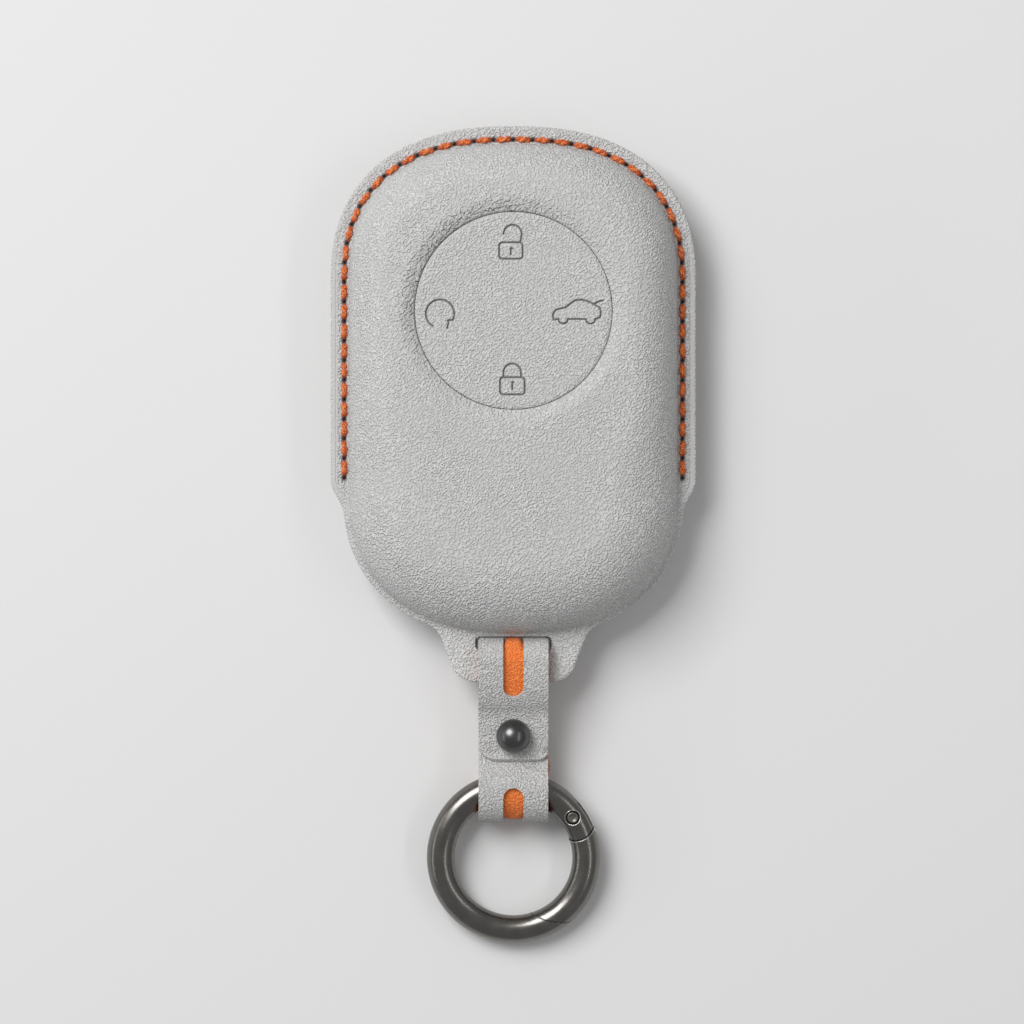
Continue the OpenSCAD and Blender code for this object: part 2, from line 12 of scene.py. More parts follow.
import bmesh
import bpy
import numpy as np
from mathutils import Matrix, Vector


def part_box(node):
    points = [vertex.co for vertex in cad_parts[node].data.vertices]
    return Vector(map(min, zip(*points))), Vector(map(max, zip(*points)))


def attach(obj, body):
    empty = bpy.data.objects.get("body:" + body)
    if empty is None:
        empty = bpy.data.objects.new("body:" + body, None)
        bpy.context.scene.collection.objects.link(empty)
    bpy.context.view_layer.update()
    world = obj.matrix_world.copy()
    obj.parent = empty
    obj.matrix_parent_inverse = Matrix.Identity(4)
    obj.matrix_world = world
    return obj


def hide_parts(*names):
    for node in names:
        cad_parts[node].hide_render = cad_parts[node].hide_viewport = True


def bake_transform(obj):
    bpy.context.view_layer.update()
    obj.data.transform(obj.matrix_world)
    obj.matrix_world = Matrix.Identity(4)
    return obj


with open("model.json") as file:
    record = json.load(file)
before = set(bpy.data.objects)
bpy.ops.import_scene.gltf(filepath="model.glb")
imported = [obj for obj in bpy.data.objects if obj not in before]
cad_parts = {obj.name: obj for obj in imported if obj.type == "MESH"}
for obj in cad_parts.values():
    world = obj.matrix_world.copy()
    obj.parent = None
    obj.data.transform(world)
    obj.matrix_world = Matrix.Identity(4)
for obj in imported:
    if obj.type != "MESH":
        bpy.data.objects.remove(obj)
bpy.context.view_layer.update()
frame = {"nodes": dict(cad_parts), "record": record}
MM = 0.001

# %% [markdown]
# The camera looks straight down, as a product photographer does for a flat lay. A long lens keeps
# the domes from leaning outwards. The picture's width is known at the height of the seam, so the
# focal length follows from the width, the distance and the sensor.

# %% Camera
CAMERA_HEIGHT = 600
SEAM_Z = 6
VIEW_WIDTH = 147.13
VIEW_CENTRE = (-0.2, -18.97)
SENSOR = 36

lens = bpy.data.cameras.new("camera")
lens.sensor_width = SENSOR
lens.lens = SENSOR * (CAMERA_HEIGHT - SEAM_Z) / VIEW_WIDTH
camera = bpy.data.objects.new("camera", lens)
camera.location = (VIEW_CENTRE[0] * MM, VIEW_CENTRE[1] * MM, CAMERA_HEIGHT * MM)
bpy.context.scene.collection.objects.link(camera)
bpy.context.scene.camera = camera
bpy.context.scene.view_settings.view_transform = "Standard"
print("focal length", round(lens.lens, 1))

# %% [markdown]
# Shader nodes are easier to read as sums. A Signal wraps the output of a node, and each operator
# on it adds the Math node that works the result out. A Finish is one material: its node method
# makes any other node from its kind, its settings and the values or links of its sockets.

# %% Shader maths
class Signal:
    """The output of a node, which can be added, subtracted and multiplied."""

    def __init__(self, finish, socket):
        self.finish = finish
        self.socket = socket

    def _math(self, operation, first, second):
        return self.finish.node("Math", {"operation": operation}, {0: first, 1: second})

    def __add__(self, other):
        return self._math("ADD", self, other)

    def __sub__(self, other):
        return self._math("SUBTRACT", self, other)

    def __rsub__(self, other):
        return self._math("SUBTRACT", other, self)

    def __mul__(self, other):
        return self._math("MULTIPLY", self, other)


class Finish:
    """One material, with a Principled shader whose plain numbers are set on its own sockets."""

    def __init__(self, name, **plain):
        self.material = bpy.data.materials.new(name)
        self.material.use_nodes = True
        self.tree = self.material.node_tree
        self.shader = self.tree.nodes["Principled BSDF"]
        for socket, value in plain.items():
            self.shader.inputs[socket.replace("_", " ")].default_value = value

    def node(self, kind, settings, sockets, output=0):
        """Adds a node, sets it up, fills its sockets with values or links, and returns an output."""
        made = self.tree.nodes.new("ShaderNode" + kind)
        for name, value in settings.items():
            setattr(made, name, value)
        for name, value in sockets.items():
            if isinstance(value, Signal):
                self.tree.links.new(value.socket, made.inputs[name])
            else:
                made.inputs[name].default_value = value
        return Signal(self, made.outputs[output])

    def attribute(self, name):
        """A number that the mesh carries at each of its points."""
        return self.node("Attribute", {"attribute_name": name}, {}, "Fac")

    def noise(self, size_mm, detail=2.0, roughness=0.5, stretch=(1, 1, 1), turn=0):
        """Noise from 0 to 1 in patches about size_mm across, turned about Z and then stretched."""
        spot = self.node("TexCoord", {}, {}, "Object")
        turned = self.node("VectorRotate", {"rotation_type": "Z_AXIS"}, {"Vector": spot, "Angle": turn})
        where = self.node("Mapping", {}, {"Vector": turned, "Scale": stretch})
        values = {"Vector": where, "Scale": 1 / (size_mm * MM), "Detail": detail, "Roughness": roughness}
        return self.node("TexNoise", {}, values)

    def grains(self, size_mm, stretch=(1, 1, 1), turn=0):
        """Separate soft spots: a single layer of noise, with its contrast raised."""
        return self.between(0.3, 0.7, self.noise(size_mm, 0, 0.5, stretch, turn))

    def between(self, low, high, value):
        """Steps smoothly from 0 to 1 as value goes from low to high."""
        values = {"Value": value, "From Min": low, "From Max": high}
        return self.node("MapRange", {"interpolation_type": "SMOOTHSTEP"}, values)

    def mix(self, share, first, second):
        """A colour between two others, by a share from 0 to 1."""
        return self.node("Mix", {"data_type": "RGBA"}, {"Factor": share, 6: first, 7: second}, 2)

    def bump(self, height, depth_mm, strength=1.0, **under):
        """A normal bent by a height of depth_mm, over another one where Normal gives it."""
        values = {"Height": height, "Distance": depth_mm * MM, "Strength": strength, **under}
        return self.node("Bump", {}, values)

    def feed(self, **signals):
        """Links signals to the shader, and returns the finished material."""
        for socket, signal in signals.items():
            self.tree.links.new(signal.socket, self.shader.inputs[socket.replace("_", " ")])
        return self.material


def rgba(red, green, blue):
    """A linear colour with full alpha."""
    return (red, green, blue, 1)


# %% [markdown]
# Suede is leather with its fibres raised. Seen close it is a field of small tufts, so the light
# breaks up into grains. A photograph of the nap could be laid on it, but noise has no seams and no
# end. The tufts are one layer of noise, stretched a little along the lie of the nap, with a finer
# dust over them that only changes the colour, and a slow layer makes the patches that a hand leaves.
# Each mesh says with attributes where the leather was worked and where light or shade is painted:
# pressed flattens the nap under the clamp and the stamp, one share is painted light that makes the
# foot and the tab paler where the dome shades them, pit mixes in a dark brown as painted shade in
# the needle holes, the slot's cut walls and the stamped troughs, and crumple wrinkles it.

# %% Suede
LIE = math.radians(-42)
TUFT_STRETCH, CREASE_STRETCH, PATCH_STRETCH = (0.93, 1.07, 1), (0.75, 1.2, 1), (0.8, 1.2, 1)
PATCH_MM, CREASE_MM, DUST_SIZE = 7, 0.48, 0.62
# The fourth of these shares is painted light: it makes the foot and the tab paler where the dome shades them.
TUFT_SHARE, DUST_SHARE, PATCH_SHARE, PAINTED_FOOT_LIGHT_SHARE, MIDDLE = 0.25, 0.7, 0.10, 0.12, 0.50
PRESSED_SHARE, CREASE_DEEP, PATCH_DEEP = 0.8, 0.24, 0.12
# Painted shade: the dark brown mixed into needle holes, the slot's cut walls and the stamped troughs.
PAINTED_SHADE_BROWN = rgba(0.018, 0.009, 0.006)


def suede(name, dark, light, grain_mm, depth_mm, contrast=1.0):
    """Napped leather between two colours, with grains of a size and a depth."""
    finish = Finish(name, Roughness=0.92, Specular_IOR_Level=0.18, Sheen_Weight=0.12, Sheen_Roughness=0.5)
    pressed, painted_foot_light, pit, crumple = map(finish.attribute, ("pressed", "painted_foot_light", "pit", "crumple"))
    patches = finish.noise(PATCH_MM, 3, 0.55, PATCH_STRETCH, LIE)
    rough = finish.between(0.3, 0.7, patches)
    raised = (1 - pressed * PRESSED_SHARE) * (rough * 0.4 + 0.8)
    tufts = finish.grains(grain_mm, TUFT_STRETCH, LIE)
    dust = finish.grains(grain_mm * DUST_SIZE)
    speckle = ((tufts - 0.5) * TUFT_SHARE + (dust - 0.5) * DUST_SHARE) * raised * contrast
    # Painted light: the foot and the tab are made paler where the dome shades them.
    nap = finish.mix(speckle + rough * PATCH_SHARE + painted_foot_light * PAINTED_FOOT_LIGHT_SHARE + MIDDLE, dark, light)
    creases = finish.grains(CREASE_MM, CREASE_STRETCH, LIE) * crumple
    swell = finish.bump(creases, CREASE_DEEP, 1.0, Normal=finish.bump(patches, PATCH_DEEP, 0.4))
    # The pit attribute mixes in dark brown as painted shade in holes, cuts and troughs.
    return finish.feed(Base_Color=finish.mix(pit, nap, PAINTED_SHADE_BROWN),
                       Normal=finish.bump(tufts * raised, depth_mm, 1.0, Normal=swell))


GREY_SUEDE = suede("grey_suede", rgba(0.36, 0.36, 0.355), rgba(0.69, 0.69, 0.685), 0.30, 0.115, 0.65)
STRAP_SUEDE = suede("strap_suede", rgba(0.35, 0.345, 0.34), rgba(0.67, 0.665, 0.66), 0.28, 0.13, 1.1)
ORANGE_SUEDE = suede("orange_suede", rgba(0.74, 0.12, 0.022), rgba(1.0, 0.31, 0.082), 0.27, 0.13, 1.1)
PANEL_LINING = suede("panel_lining", rgba(0.22, 0.22, 0.22), rgba(0.36, 0.36, 0.355), 0.3, 0.05)

# %% [markdown]
# The thread is two plies of polyester twisted together. The plies are real tubes in the mesh, so
# the finish only adds the fine filaments of each ply and a dull shine. An attribute called ends
# darkens a stitch where it dives into its holes, as little light gets out again there.

# %% Thread
FILAMENT_MM, DIVE_DARK = 0.17, 0.8


def thread():
    """Waxed polyester: fine filaments, a little darker between them."""
    finish = Finish("orange_thread", Roughness=0.55, Specular_IOR_Level=0.35, Sheen_Weight=0.1)
    filaments = finish.between(0.35, 0.65, finish.noise(FILAMENT_MM))
    lit = filaments * (1 - finish.attribute("ends") * DIVE_DARK)
    return finish.feed(Base_Color=finish.mix(lit, rgba(0.38, 0.035, 0.008), rgba(1.0, 0.29, 0.07)),
                       Normal=finish.bump(filaments, 0.04, 0.8))


THREAD = thread()

# %% [markdown]
# The ring, the stud and the rivet are plated zinc in a dark gunmetal colour with a satin skin. The
# roughness wanders a little from place to place, as plating does, and a very fine grain breaks up
# the edges of the highlights. A paler copy of the metal paints a highlight on thin edge beads, and a
# nearly black one paints shade in narrow gaps. Inside the cover, pulp board stiffens the panels.

# %% Metal and board
CLOUD_MM, GRIT_MM, PULP_MM = 2.2, 0.06, 0.5
CLOUD_ROUGH, GRIT_ROUGH = 0.10, 0.05


def plated(name, dark, light, roughness):
    """Satin plating between two colours, with a roughness that wanders about a middle."""
    finish = Finish(name, Metallic=1.0)
    cloud, grit = finish.noise(CLOUD_MM, 3), finish.noise(GRIT_MM, 1)
    wander = cloud * CLOUD_ROUGH + grit * GRIT_ROUGH + (roughness - (CLOUD_ROUGH + GRIT_ROUGH) / 2)
    return finish.feed(Base_Color=finish.mix(cloud, dark, light), Roughness=wander,
                       Normal=finish.bump(grit, 0.004, 0.35))


def board(name, dark, light):
    """Grey pulp board, as seen where the lining is lifted."""
    finish = Finish(name, Roughness=0.8)
    pulp = finish.noise(PULP_MM, 4)
    return finish.feed(Base_Color=finish.mix(pulp, dark, light), Normal=finish.bump(pulp, 0.05, 0.5))


GUNMETAL = plated("gunmetal", rgba(0.160, 0.152, 0.143), rgba(0.230, 0.220, 0.206), 0.26)
STUD_METAL = plated("stud_gunmetal", rgba(0.10, 0.10, 0.10), rgba(0.15, 0.15, 0.148), 0.30)
STEEL = plated("rivet_steel", rgba(0.15, 0.147, 0.125), rgba(0.24, 0.235, 0.21), 0.38)
# A paler copy of the metal: a painted highlight on the edge beads of the ring.
PAINTED_HIGHLIGHT_METAL = plated("painted_highlight_edge", rgba(0.50, 0.49, 0.47), rgba(0.66, 0.65, 0.62), 0.30)
# Nearly black metal: painted shade in the ring's narrow gaps and hollows.
PAINTED_SHADE_BLACK = plated("painted_shade_black", rgba(0.012, 0.012, 0.011), rgba(0.025, 0.024, 0.022), 0.5)
STIFFENER = board("stiffener", rgba(0.055, 0.055, 0.06), rgba(0.09, 0.09, 0.095))
print("finishes:", sorted(material.name for material in bpy.data.materials if material.users))

# %% [markdown]
# Every new piece is a grid of points and the quads between them. The helpers below put coordinates
# side by side, measure lines, number the quads of a grid, join two rows of points by a strip, and
# put the result in a mesh. Doubled points at poles are merged and the normals are made to point
# outwards, then edges sharper than an angle are marked so that the shading breaks there.

# %% Mesh helpers
def joined(*parts):
    """Numbers side by side as coordinates, each first spread to the shape that they share."""
    return np.stack(np.broadcast_arrays(*parts), axis=-1)


def norm(vectors):
    """Lengths: the root of the sum of the squares."""
    return np.linalg.norm(vectors, axis=-1)


def run_of(line):
    """Distance walked at each point of a line."""
    return np.concatenate([[0], np.cumsum(norm(np.diff(line, axis=0)))])


def right_of(step):
    """Directions square to the steps of a line, on its right-hand side as it is walked."""
    return joined(step[:, 1], -step[:, 0]) / norm(step)[:, None]


def circle(count):
    """Angles that share out a full turn."""
    return np.linspace(0, 2 * math.pi, count, endpoint=False)


def arc(centre, radius, start, end, steps=40):
    """Points of an arc between two angles in degrees."""
    angle = np.radians(np.linspace(start, end, steps))
    return np.array(centre) + radius * joined(np.cos(angle), np.sin(angle))


def eased(share):
    """0 to 1 with level ends: 3 t squared minus 2 t cubed."""
    share = np.clip(share, 0, 1)
    return share * share * (3 - 2 * share)


def between(low, high, share):
    """The value at a share of the way from low to high."""
    return low + (high - low) * share


def with_height(at, z):
    """Adds heights to points of the plan."""
    return joined(at[..., 0], at[..., 1], z)


def rounded(at, away, height, high, angles):
    """Rows of a quarter turn: away (1 - sin a) outwards and high (1 - cos a) down."""
    turn = np.radians(angles)[:, None]
    return with_height(at + away * (1 - np.sin(turn))[..., None], height - high * (1 - np.cos(turn)))


def grid_quads(rows, columns, wrap_rows=False, wrap_columns=False):
    """Point numbers of the quads of a grid, as an array rows x columns x 4."""
    row = np.arange(rows if wrap_rows else rows - 1)[:, None]
    column = np.arange(columns if wrap_columns else columns - 1)
    start, below, right = row * columns, (row + 1) % rows * columns, (column + 1) % columns
    return joined(start + column, start + right, below + right, below + column)


def strip_quads(first, second):
    """Quads between two rows of point numbers of the same length."""
    return joined(first[:-1], first[1:], second[1:], second[:-1])


def add_piece(name, points_mm, faces, material, body, slot, replaced=(), sharp=50, **values):
    """Makes a mesh from points and arrays of faces, closes its poles, and lets it ride on a body."""
    mesh = bpy.data.meshes.new(name)
    corners = [face for group in faces for face in group.reshape(-1, group.shape[-1]).tolist()]
    mesh.from_pydata(points_mm.reshape(-1, 3) * MM, [], corners)
    for attribute, value in values.items():
        data = np.ascontiguousarray(value, np.float32).ravel()
        mesh.attributes.new(attribute, "FLOAT", "POINT").data.foreach_set("value", data)
    solid = bmesh.new()
    solid.from_mesh(mesh)
    bmesh.ops.remove_doubles(solid, verts=solid.verts, dist=1e-7)
    bmesh.ops.recalc_face_normals(solid, faces=solid.faces)
    solid.to_mesh(mesh)
    open_edges = sum(not edge.is_manifold for edge in solid.edges)
    solid.free()
    mesh.polygons.foreach_set("use_smooth", np.ones(len(mesh.polygons), bool))
    mesh.set_sharp_from_angle(angle=math.radians(sharp))
    mesh.materials.append(material)
    piece = bpy.data.objects.new(name, mesh)
    bpy.context.scene.collection.objects.link(piece)
    if body:
        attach(piece, body)
    if replaced:
        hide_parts(*replaced)
    print(name, "faces", len(mesh.polygons), "open edges", open_edges)
    return piece


# %% [markdown]
# Both panels grow from one line, the foot of the domes. Its ends are superellipses, curves between
# an ellipse and a rectangle, and its sides are straight. Only the right half is worked out, from
# the middle of the bottom to the middle of the top, and the left half is its mirror image. The
# places come from the frame's boxes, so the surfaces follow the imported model.

# %% The foot line of the domes
FLANGE_W, LIP_W = 2.7, 0.95
SUEDE_T, LINING_T, CORE_T = 0.7, 0.3, 1.0
GLUE = 0.02
TOP_ROUND, TOP_POWER = 19.5, 2.44
BOTTOM_ROUND, BOTTOM_POWER = 19.7, 2.28
QUARTER_STEPS = 4000

skin_low, skin_high = np.array(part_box("front_skin")) / MM
core_low = np.array(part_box("front_core")[0]) / MM
HALF_W = skin_high[0] - FLANGE_W
DOME_TOP = skin_high[1] - FLANGE_W
DOME_BOTTOM = -core_low[1] + SUEDE_T + GLUE
TAB_BOTTOM = skin_low[1]
FRONT_FACE = skin_low[2] + SUEDE_T
BACK_FACE = 2 * SEAM_Z - FRONT_FACE
TOP_START = DOME_TOP - TOP_ROUND
BOTTOM_START = BOTTOM_ROUND - DOME_BOTTOM


def quarter(power, height):
    """A superellipse from its side to its end: x = w cos(a)^(2/p), y = h sin(a)^(2/p)."""
    angle = np.linspace(0, math.pi / 2, QUARTER_STEPS)
    return joined(HALF_W * np.cos(angle) ** (2 / power), height * np.sin(angle) ** (2 / power))


FOOT = np.concatenate([quarter(BOTTOM_POWER, BOTTOM_ROUND)[::-1] * [1, -1] + [0, BOTTOM_START],
                       quarter(TOP_POWER, TOP_ROUND) + [0, TOP_START]])
FOOT_S = run_of(FOOT)


def foot_normal(x, y):
    """The outward direction: the gradient of |x/w|^p + |y/h|^p, whose y part is 0 along the side."""
    top = y > TOP_START
    power = np.where(top, TOP_POWER, BOTTOM_POWER)
    height = np.where(top, TOP_ROUND, BOTTOM_ROUND)
    beyond = np.maximum(0, np.where(top, y - TOP_START, BOTTOM_START - y))
    nx = (np.maximum(x, 0) / HALF_W) ** (power - 1) / HALF_W
    ny = (beyond / height) ** (power - 1) / height * np.where(top, 1, -1)
    return joined(nx, ny) / np.hypot(nx, ny)[..., None]


def foot_at(s):
    """Points of the foot line and their outward directions, at distances s along it."""
    x, y = [np.interp(s, FOOT_S, part) for part in FOOT.T]
    return joined(x, y), foot_normal(x, y)


print("half the foot line", round(FOOT_S[-1], 2), "from", round(-DOME_BOTTOM, 2), "to", round(DOME_TOP, 2))

# %% [markdown]
# The outline of the flange runs beside the foot line, wide where it is stitched and narrow round
# the mouth, and drops down round the tab. The tab has a flat end, round corners, tapering sides
# and hollows where it leaves the lip. Each column of the grid has one point on the foot line and
# one on the outline, so the two lines only have to be walked together.

# %% The outline with its tab
SLOT_W, SLOT_H, SLOT_DROP, SLOT_ROUND = 10.8, 2.0, 0.6, 0.5
CORNER_R, CORNER_X = 3.6, 5.45
HOLLOW_R, HOLLOW_X, HOLLOW_DROP = 3.0, 13.15, 1.9
TAPER, TANGENT = 23, 112
FLANGE_END, FLANGE_TAPER = 14.5, 4.5
slot_top = -DOME_BOTTOM - SLOT_DROP
slot_bottom = slot_top - SLOT_H


def stitched(y):
    """1 beside the stitches and 0 round the mouth, with an eased step between them."""
    return eased((y + FLANGE_END) / FLANGE_TAPER + 1)


tab_side = np.concatenate([
    arc((CORNER_X, TAB_BOTTOM + CORNER_R), CORNER_R, -90, -TAPER),
    arc((HOLLOW_X, -DOME_BOTTOM - HOLLOW_DROP), HOLLOW_R, 180 - TAPER, TANGENT)])
tab_run = run_of(tab_side)
foot_line, foot_out = foot_at(FOOT_S)
tab_end_s = FOOT_S[np.argmin(norm(foot_line + foot_out * LIP_W - tab_side[-1]))]
slot_end_s, corner_s = np.interp([SLOT_W / 2, CORNER_X], FOOT[:QUARTER_STEPS, 0], FOOT_S[:QUARTER_STEPS])


def outline_at(s):
    """The outline beside the foot line: flat under the tab, round its side, then along the lip."""
    foot, out = foot_at(s)
    plain = foot + out * between(LIP_W, FLANGE_W, stitched(foot[:, 1]))[:, None]
    share = np.clip((s - corner_s) / (tab_end_s - corner_s), 0, 1) * tab_run[-1]
    side = joined(*[np.interp(share, tab_run, part) for part in tab_side.T])
    flat = joined(foot[:, 0], TAB_BOTTOM)
    return np.where(s[:, None] <= corner_s, flat, np.where(s[:, None] < tab_end_s, side, plain))


print("tab leaves the lip at", np.round(tab_side[-1], 2), "after", round(tab_end_s, 2))

# %% [markdown]
# The seam runs just outside the foot line. Its holes are spaced evenly from the top's middle, and
# the surface dips into each one. The pits belong in the mesh, because they are what makes a row of
# stitches look sewn rather than laid on.

# %% The seam
SEAM_INSET = 1.95
SEAM_START = -14.1
STITCHES = 46
PIT_DEPTH, PIT_LONG, PIT_WIDE = 0.6, 0.44, 0.34

seam_line = foot_line + foot_out * (FLANGE_W - SEAM_INSET)
seam_run = run_of(seam_line)
seam_run -= np.interp(SEAM_START, seam_line[:, 1], seam_run)
PITCH = seam_run[-1] / (STITCHES / 2)


def pit_at(s, off):
    """Depth of the needle holes, as a share, at a distance along the foot line and off it."""
    run = np.interp(s, FOOT_S, seam_run)
    along = np.where(run > -PITCH / 2, run - PITCH * np.round(run / PITCH), PITCH)
    across = off - (FLANGE_W - SEAM_INSET)
    return np.exp(-((along / PIT_LONG) ** 2 + (across / PIT_WIDE) ** 2) ** 1.5)


print("stitch pitch", round(PITCH, 3))

# %% [markdown]
# A panel is one closed skin. Walking a column of its grid goes over the outer face from the middle
# to the foot, across the flange, round the cut edge, and back under the flange and up inside. The
# dome's wall is a quarter of an ellipse, so it leaves the flange upright and lands level on the
# flat. Modelling it as a height over the plan was the other way, but an upright wall can't be a
# height. The slot is a gap in the grid with its own walls.

# %% The dome
DISH_W, DISH_DEPTH, DISH_POWER = 2.3, 0.75, 1.6
GROOVE_W = 0.06
FRONT_RISE, CROWN = 7.8, 0.35
FRONT_SIDE_W, FRONT_LOW_W, BACK_W = 7, 10, 6

disc_low, disc_high = np.array(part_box("press_disc")) / MM
DISC_R = (disc_high[0] - disc_low[0]) / 2
DISC_Y = (disc_high[1] + disc_low[1]) / 2
HOLE_R = DISC_R + GROOVE_W


class Dome:
    """The sizes of one dome: rise, widths of its rounding, crown, dish, middle, hole and brim."""

    def __init__(self, rise, side_w, low_w, crown=0.0, dish=0.0, centre_y=0.0, hole=0.0, brim=0.0):
        self.rise, self.side_w, self.low_w, self.crown = rise, side_w, low_w, crown
        self.dish, self.centre, self.hole, self.brim = dish, np.array([0, centre_y]), hole, brim

    def rounding(self, y):
        """Width of the rounding, wider towards the lower end."""
        return between(self.low_w, self.side_w, eased((y - BOTTOM_START) / TOP_START))

    def top(self, at):
        """Height of the flat: the rise and a soft crown, (1 - q)^2 with q = (x/w)^2 + (y/l)^2."""
        q = (at[..., 0] / HALF_W) ** 2 + (at[..., 1] / DOME_BOTTOM) ** 2
        return self.rise + self.crown * np.maximum(0, 1 - q) ** 2

    def grow_from(self, foot, out):
        """Notes the foot line, and the spokes from the dome's middle to the end of its rounding."""
        self.foot, self.out, self.width = foot, out, self.rounding(foot[:, 1])
        start = foot - out * self.width[:, None] - self.centre
        self.reach = norm(start)
        self.spoke = start / self.reach[:, None]

    def wall(self, inside, angles):
        """Rows up the wall: (w - k)(1 - cos a) inwards and (height - k) sin a up."""
        angle = np.radians(angles)[:, None]
        inwards = inside + (self.width - inside) * (1 - np.cos(angle))
        at = self.foot - self.out * inwards[..., None]
        return with_height(at, (self.top(at) - inside) * np.sin(angle))

    def flat(self, inside, shares):
        """Rows from the rounding to the brim, on straight lines to the dome's middle."""
        at = self.centre + self.spoke * between(self.reach, self.brim, shares[:, None])[..., None]
        return with_height(at, self.top(at) - inside)

    def slope(self, inside, shares):
        """Rows down the dish, ever steeper from the brim to the disc's level at the hole."""
        share = shares[:, None]
        at = self.centre + self.spoke * between(self.brim, self.hole, share)[..., None]
        return with_height(at, between(self.top(at), self.rise - self.dish, share ** DISH_POWER) - inside)


FRONT_DOME = Dome(FRONT_RISE, FRONT_SIDE_W, FRONT_LOW_W, CROWN, DISH_DEPTH, DISC_Y, HOLE_R, HOLE_R + DISH_W)
BACK_DOME = Dome(BACK_FACE, BACK_W, BACK_W)
print("disc radius", round(DISC_R, 2), "at", round(DISC_Y, 2), "front face", round(FRONT_FACE, 2))

# %% [markdown]
# The flange is walked in three bands, so that rows of the grid run along both sides of the slot and
# its cells can be left out. Beyond the slot's ends the bands ease to even thirds. The columns are
# close together where the needle holes are, and wider apart round the mouth, which saves faces.

# %% The flange and its slot
BANDS = (6, 6, 13)
TAB_CELL = 0.75
FRONT_CELLS, BACK_CELLS, LINING_CELLS = (0.22, 0.33), (0.24, 0.36), (0.6, 0.6)


def half_columns(fine, coarse):
    """Distances along the half foot line: fine where it is stitched, coarser round the mouth."""
    stitched_s = float(np.interp(SEAM_START - 1, FOOT[:, 1], FOOT_S))
    ends = [0, slot_end_s, tab_end_s, stitched_s, FOOT_S[-1]]
    steps = [coarse * TAB_CELL, coarse * TAB_CELL, coarse, fine]
    parts = [np.linspace(a, b, max(2, round((b - a) / step)), endpoint=False)
             for a, b, step in zip(ends, ends[1:], steps)]
    return np.concatenate(parts + [[FOOT_S[-1]]]), len(parts[0])


def slot_shares(s, start, end):
    """Shares of the way from the foot to the edge at which the rows pass the slot's two sides."""
    into = np.maximum(0, np.minimum(start[:, 0], SLOT_W / 2) - (SLOT_W / 2 - SLOT_ROUND))
    round_off = SLOT_ROUND - np.sqrt(np.maximum(0, SLOT_ROUND ** 2 - into ** 2))
    deep = np.maximum(start[:, 1] - end[:, 1], GLUE)
    upper = (start[:, 1] - (slot_top - round_off)) / deep
    lower = (start[:, 1] - (slot_bottom + round_off)) / deep
    last = np.searchsorted(s, slot_end_s)
    fade = eased((s - s[last]) / (tab_end_s - s[last]))
    past = s > s[last]
    return (np.where(past, between(upper[last], 1 / 3, fade), upper),
            np.where(past, between(lower[last], 2 / 3, fade), lower))


def flange_rows(s, start, end):
    """Rows across the flange in three bands: to the slot, along it, and on to the edge."""
    upper, lower = slot_shares(s, start, end)
    first, middle, last = BANDS
    shares = [np.linspace(0, upper, first + 1)[:-1], np.linspace(upper, lower, middle + 1)[:-1],
              np.linspace(lower, 1, last + 1)]
    return between(start, end, np.concatenate(shares)[..., None])


def under_rows(flange, mouth, outline):
    """The same three bands under the flange, from the mouth of the pocket to the outline."""
    first, middle, last = BANDS
    return np.concatenate([np.linspace(mouth, flange[first], first + 1)[:-1], flange[first:first + middle],
                           np.linspace(flange[first + middle], outline, last + 1)])


def close_panel(half, slot_columns, top, low, wrap):
    """Mirrors the half grid, leaves the slot's cells out above and below, and adds its walls."""
    points = np.concatenate([half, half[:, -2:0:-1] * [-1, 1, 1]], axis=1)
    count, columns = points.shape[:2]
    quads = grid_quads(count, columns, wrap, True)
    keep = np.ones(quads.shape[:2], bool)
    across = np.arange(-slot_columns, slot_columns + 1) % columns
    deep = BANDS[1]
    for start in (top, low):
        keep[start:start + deep, across[:-1]] = False
    walls = [strip_quads(top * columns + across, (low + deep) * columns + across),
             strip_quads((top + deep) * columns + across, low * columns + across)]
    down = np.arange(deep + 1) * columns
    for column in (slot_columns, columns - slot_columns):
        walls.append(strip_quads(top * columns + down + column, (low + deep) * columns - down + column))
    return points, [quads[keep], *walls]


print("columns of half the front panel:", len(half_columns(*FRONT_CELLS)[0]))

# %% [markdown]
# Leather keeps the marks of the work. A heated clamp presses a line along the rim, the fibres of
# the stretched wall stand up, and the dish wrinkles on the side where the suede turned hardest. The
# foot and the tab are painted paler, as painted light where the dome shades them. The finish can't
# know those places, so the mesh carries them as attributes, each one a number at every point.

# %% The marks in the nap, and painted light at the foot
PRESS_W, PRESS_TOP, PRESS_FADE_Y, PRESS_FADE = 0.5, 0.15, 12, 14
FLUFF, WALL_FLUFF, WALL_TOP = 0.4, 0.5, 0.25
# Painted light: below this height the foot and the tab are made paler, less so up the wall.
FOOT_LIGHT_Y, FOOT_LIGHT_LONG, FOOT_LIGHT_FROM, FOOT_LIGHT_HIGH = -31, 4, 0.1, 0.45
CRUMPLE_W, CRUMPLE_LEAST = 3.6, 0.25
CRUMPLE_FROM = np.array([-0.75, 0.66])
ON_WALL = 0.02


def pressed_side(y):
    """How much of the clamp's mark the flange shows: all of it along the sides, little at the top."""
    return stitched(y) * between(1, PRESS_TOP, eased((y - PRESS_FADE_Y) / PRESS_FADE))


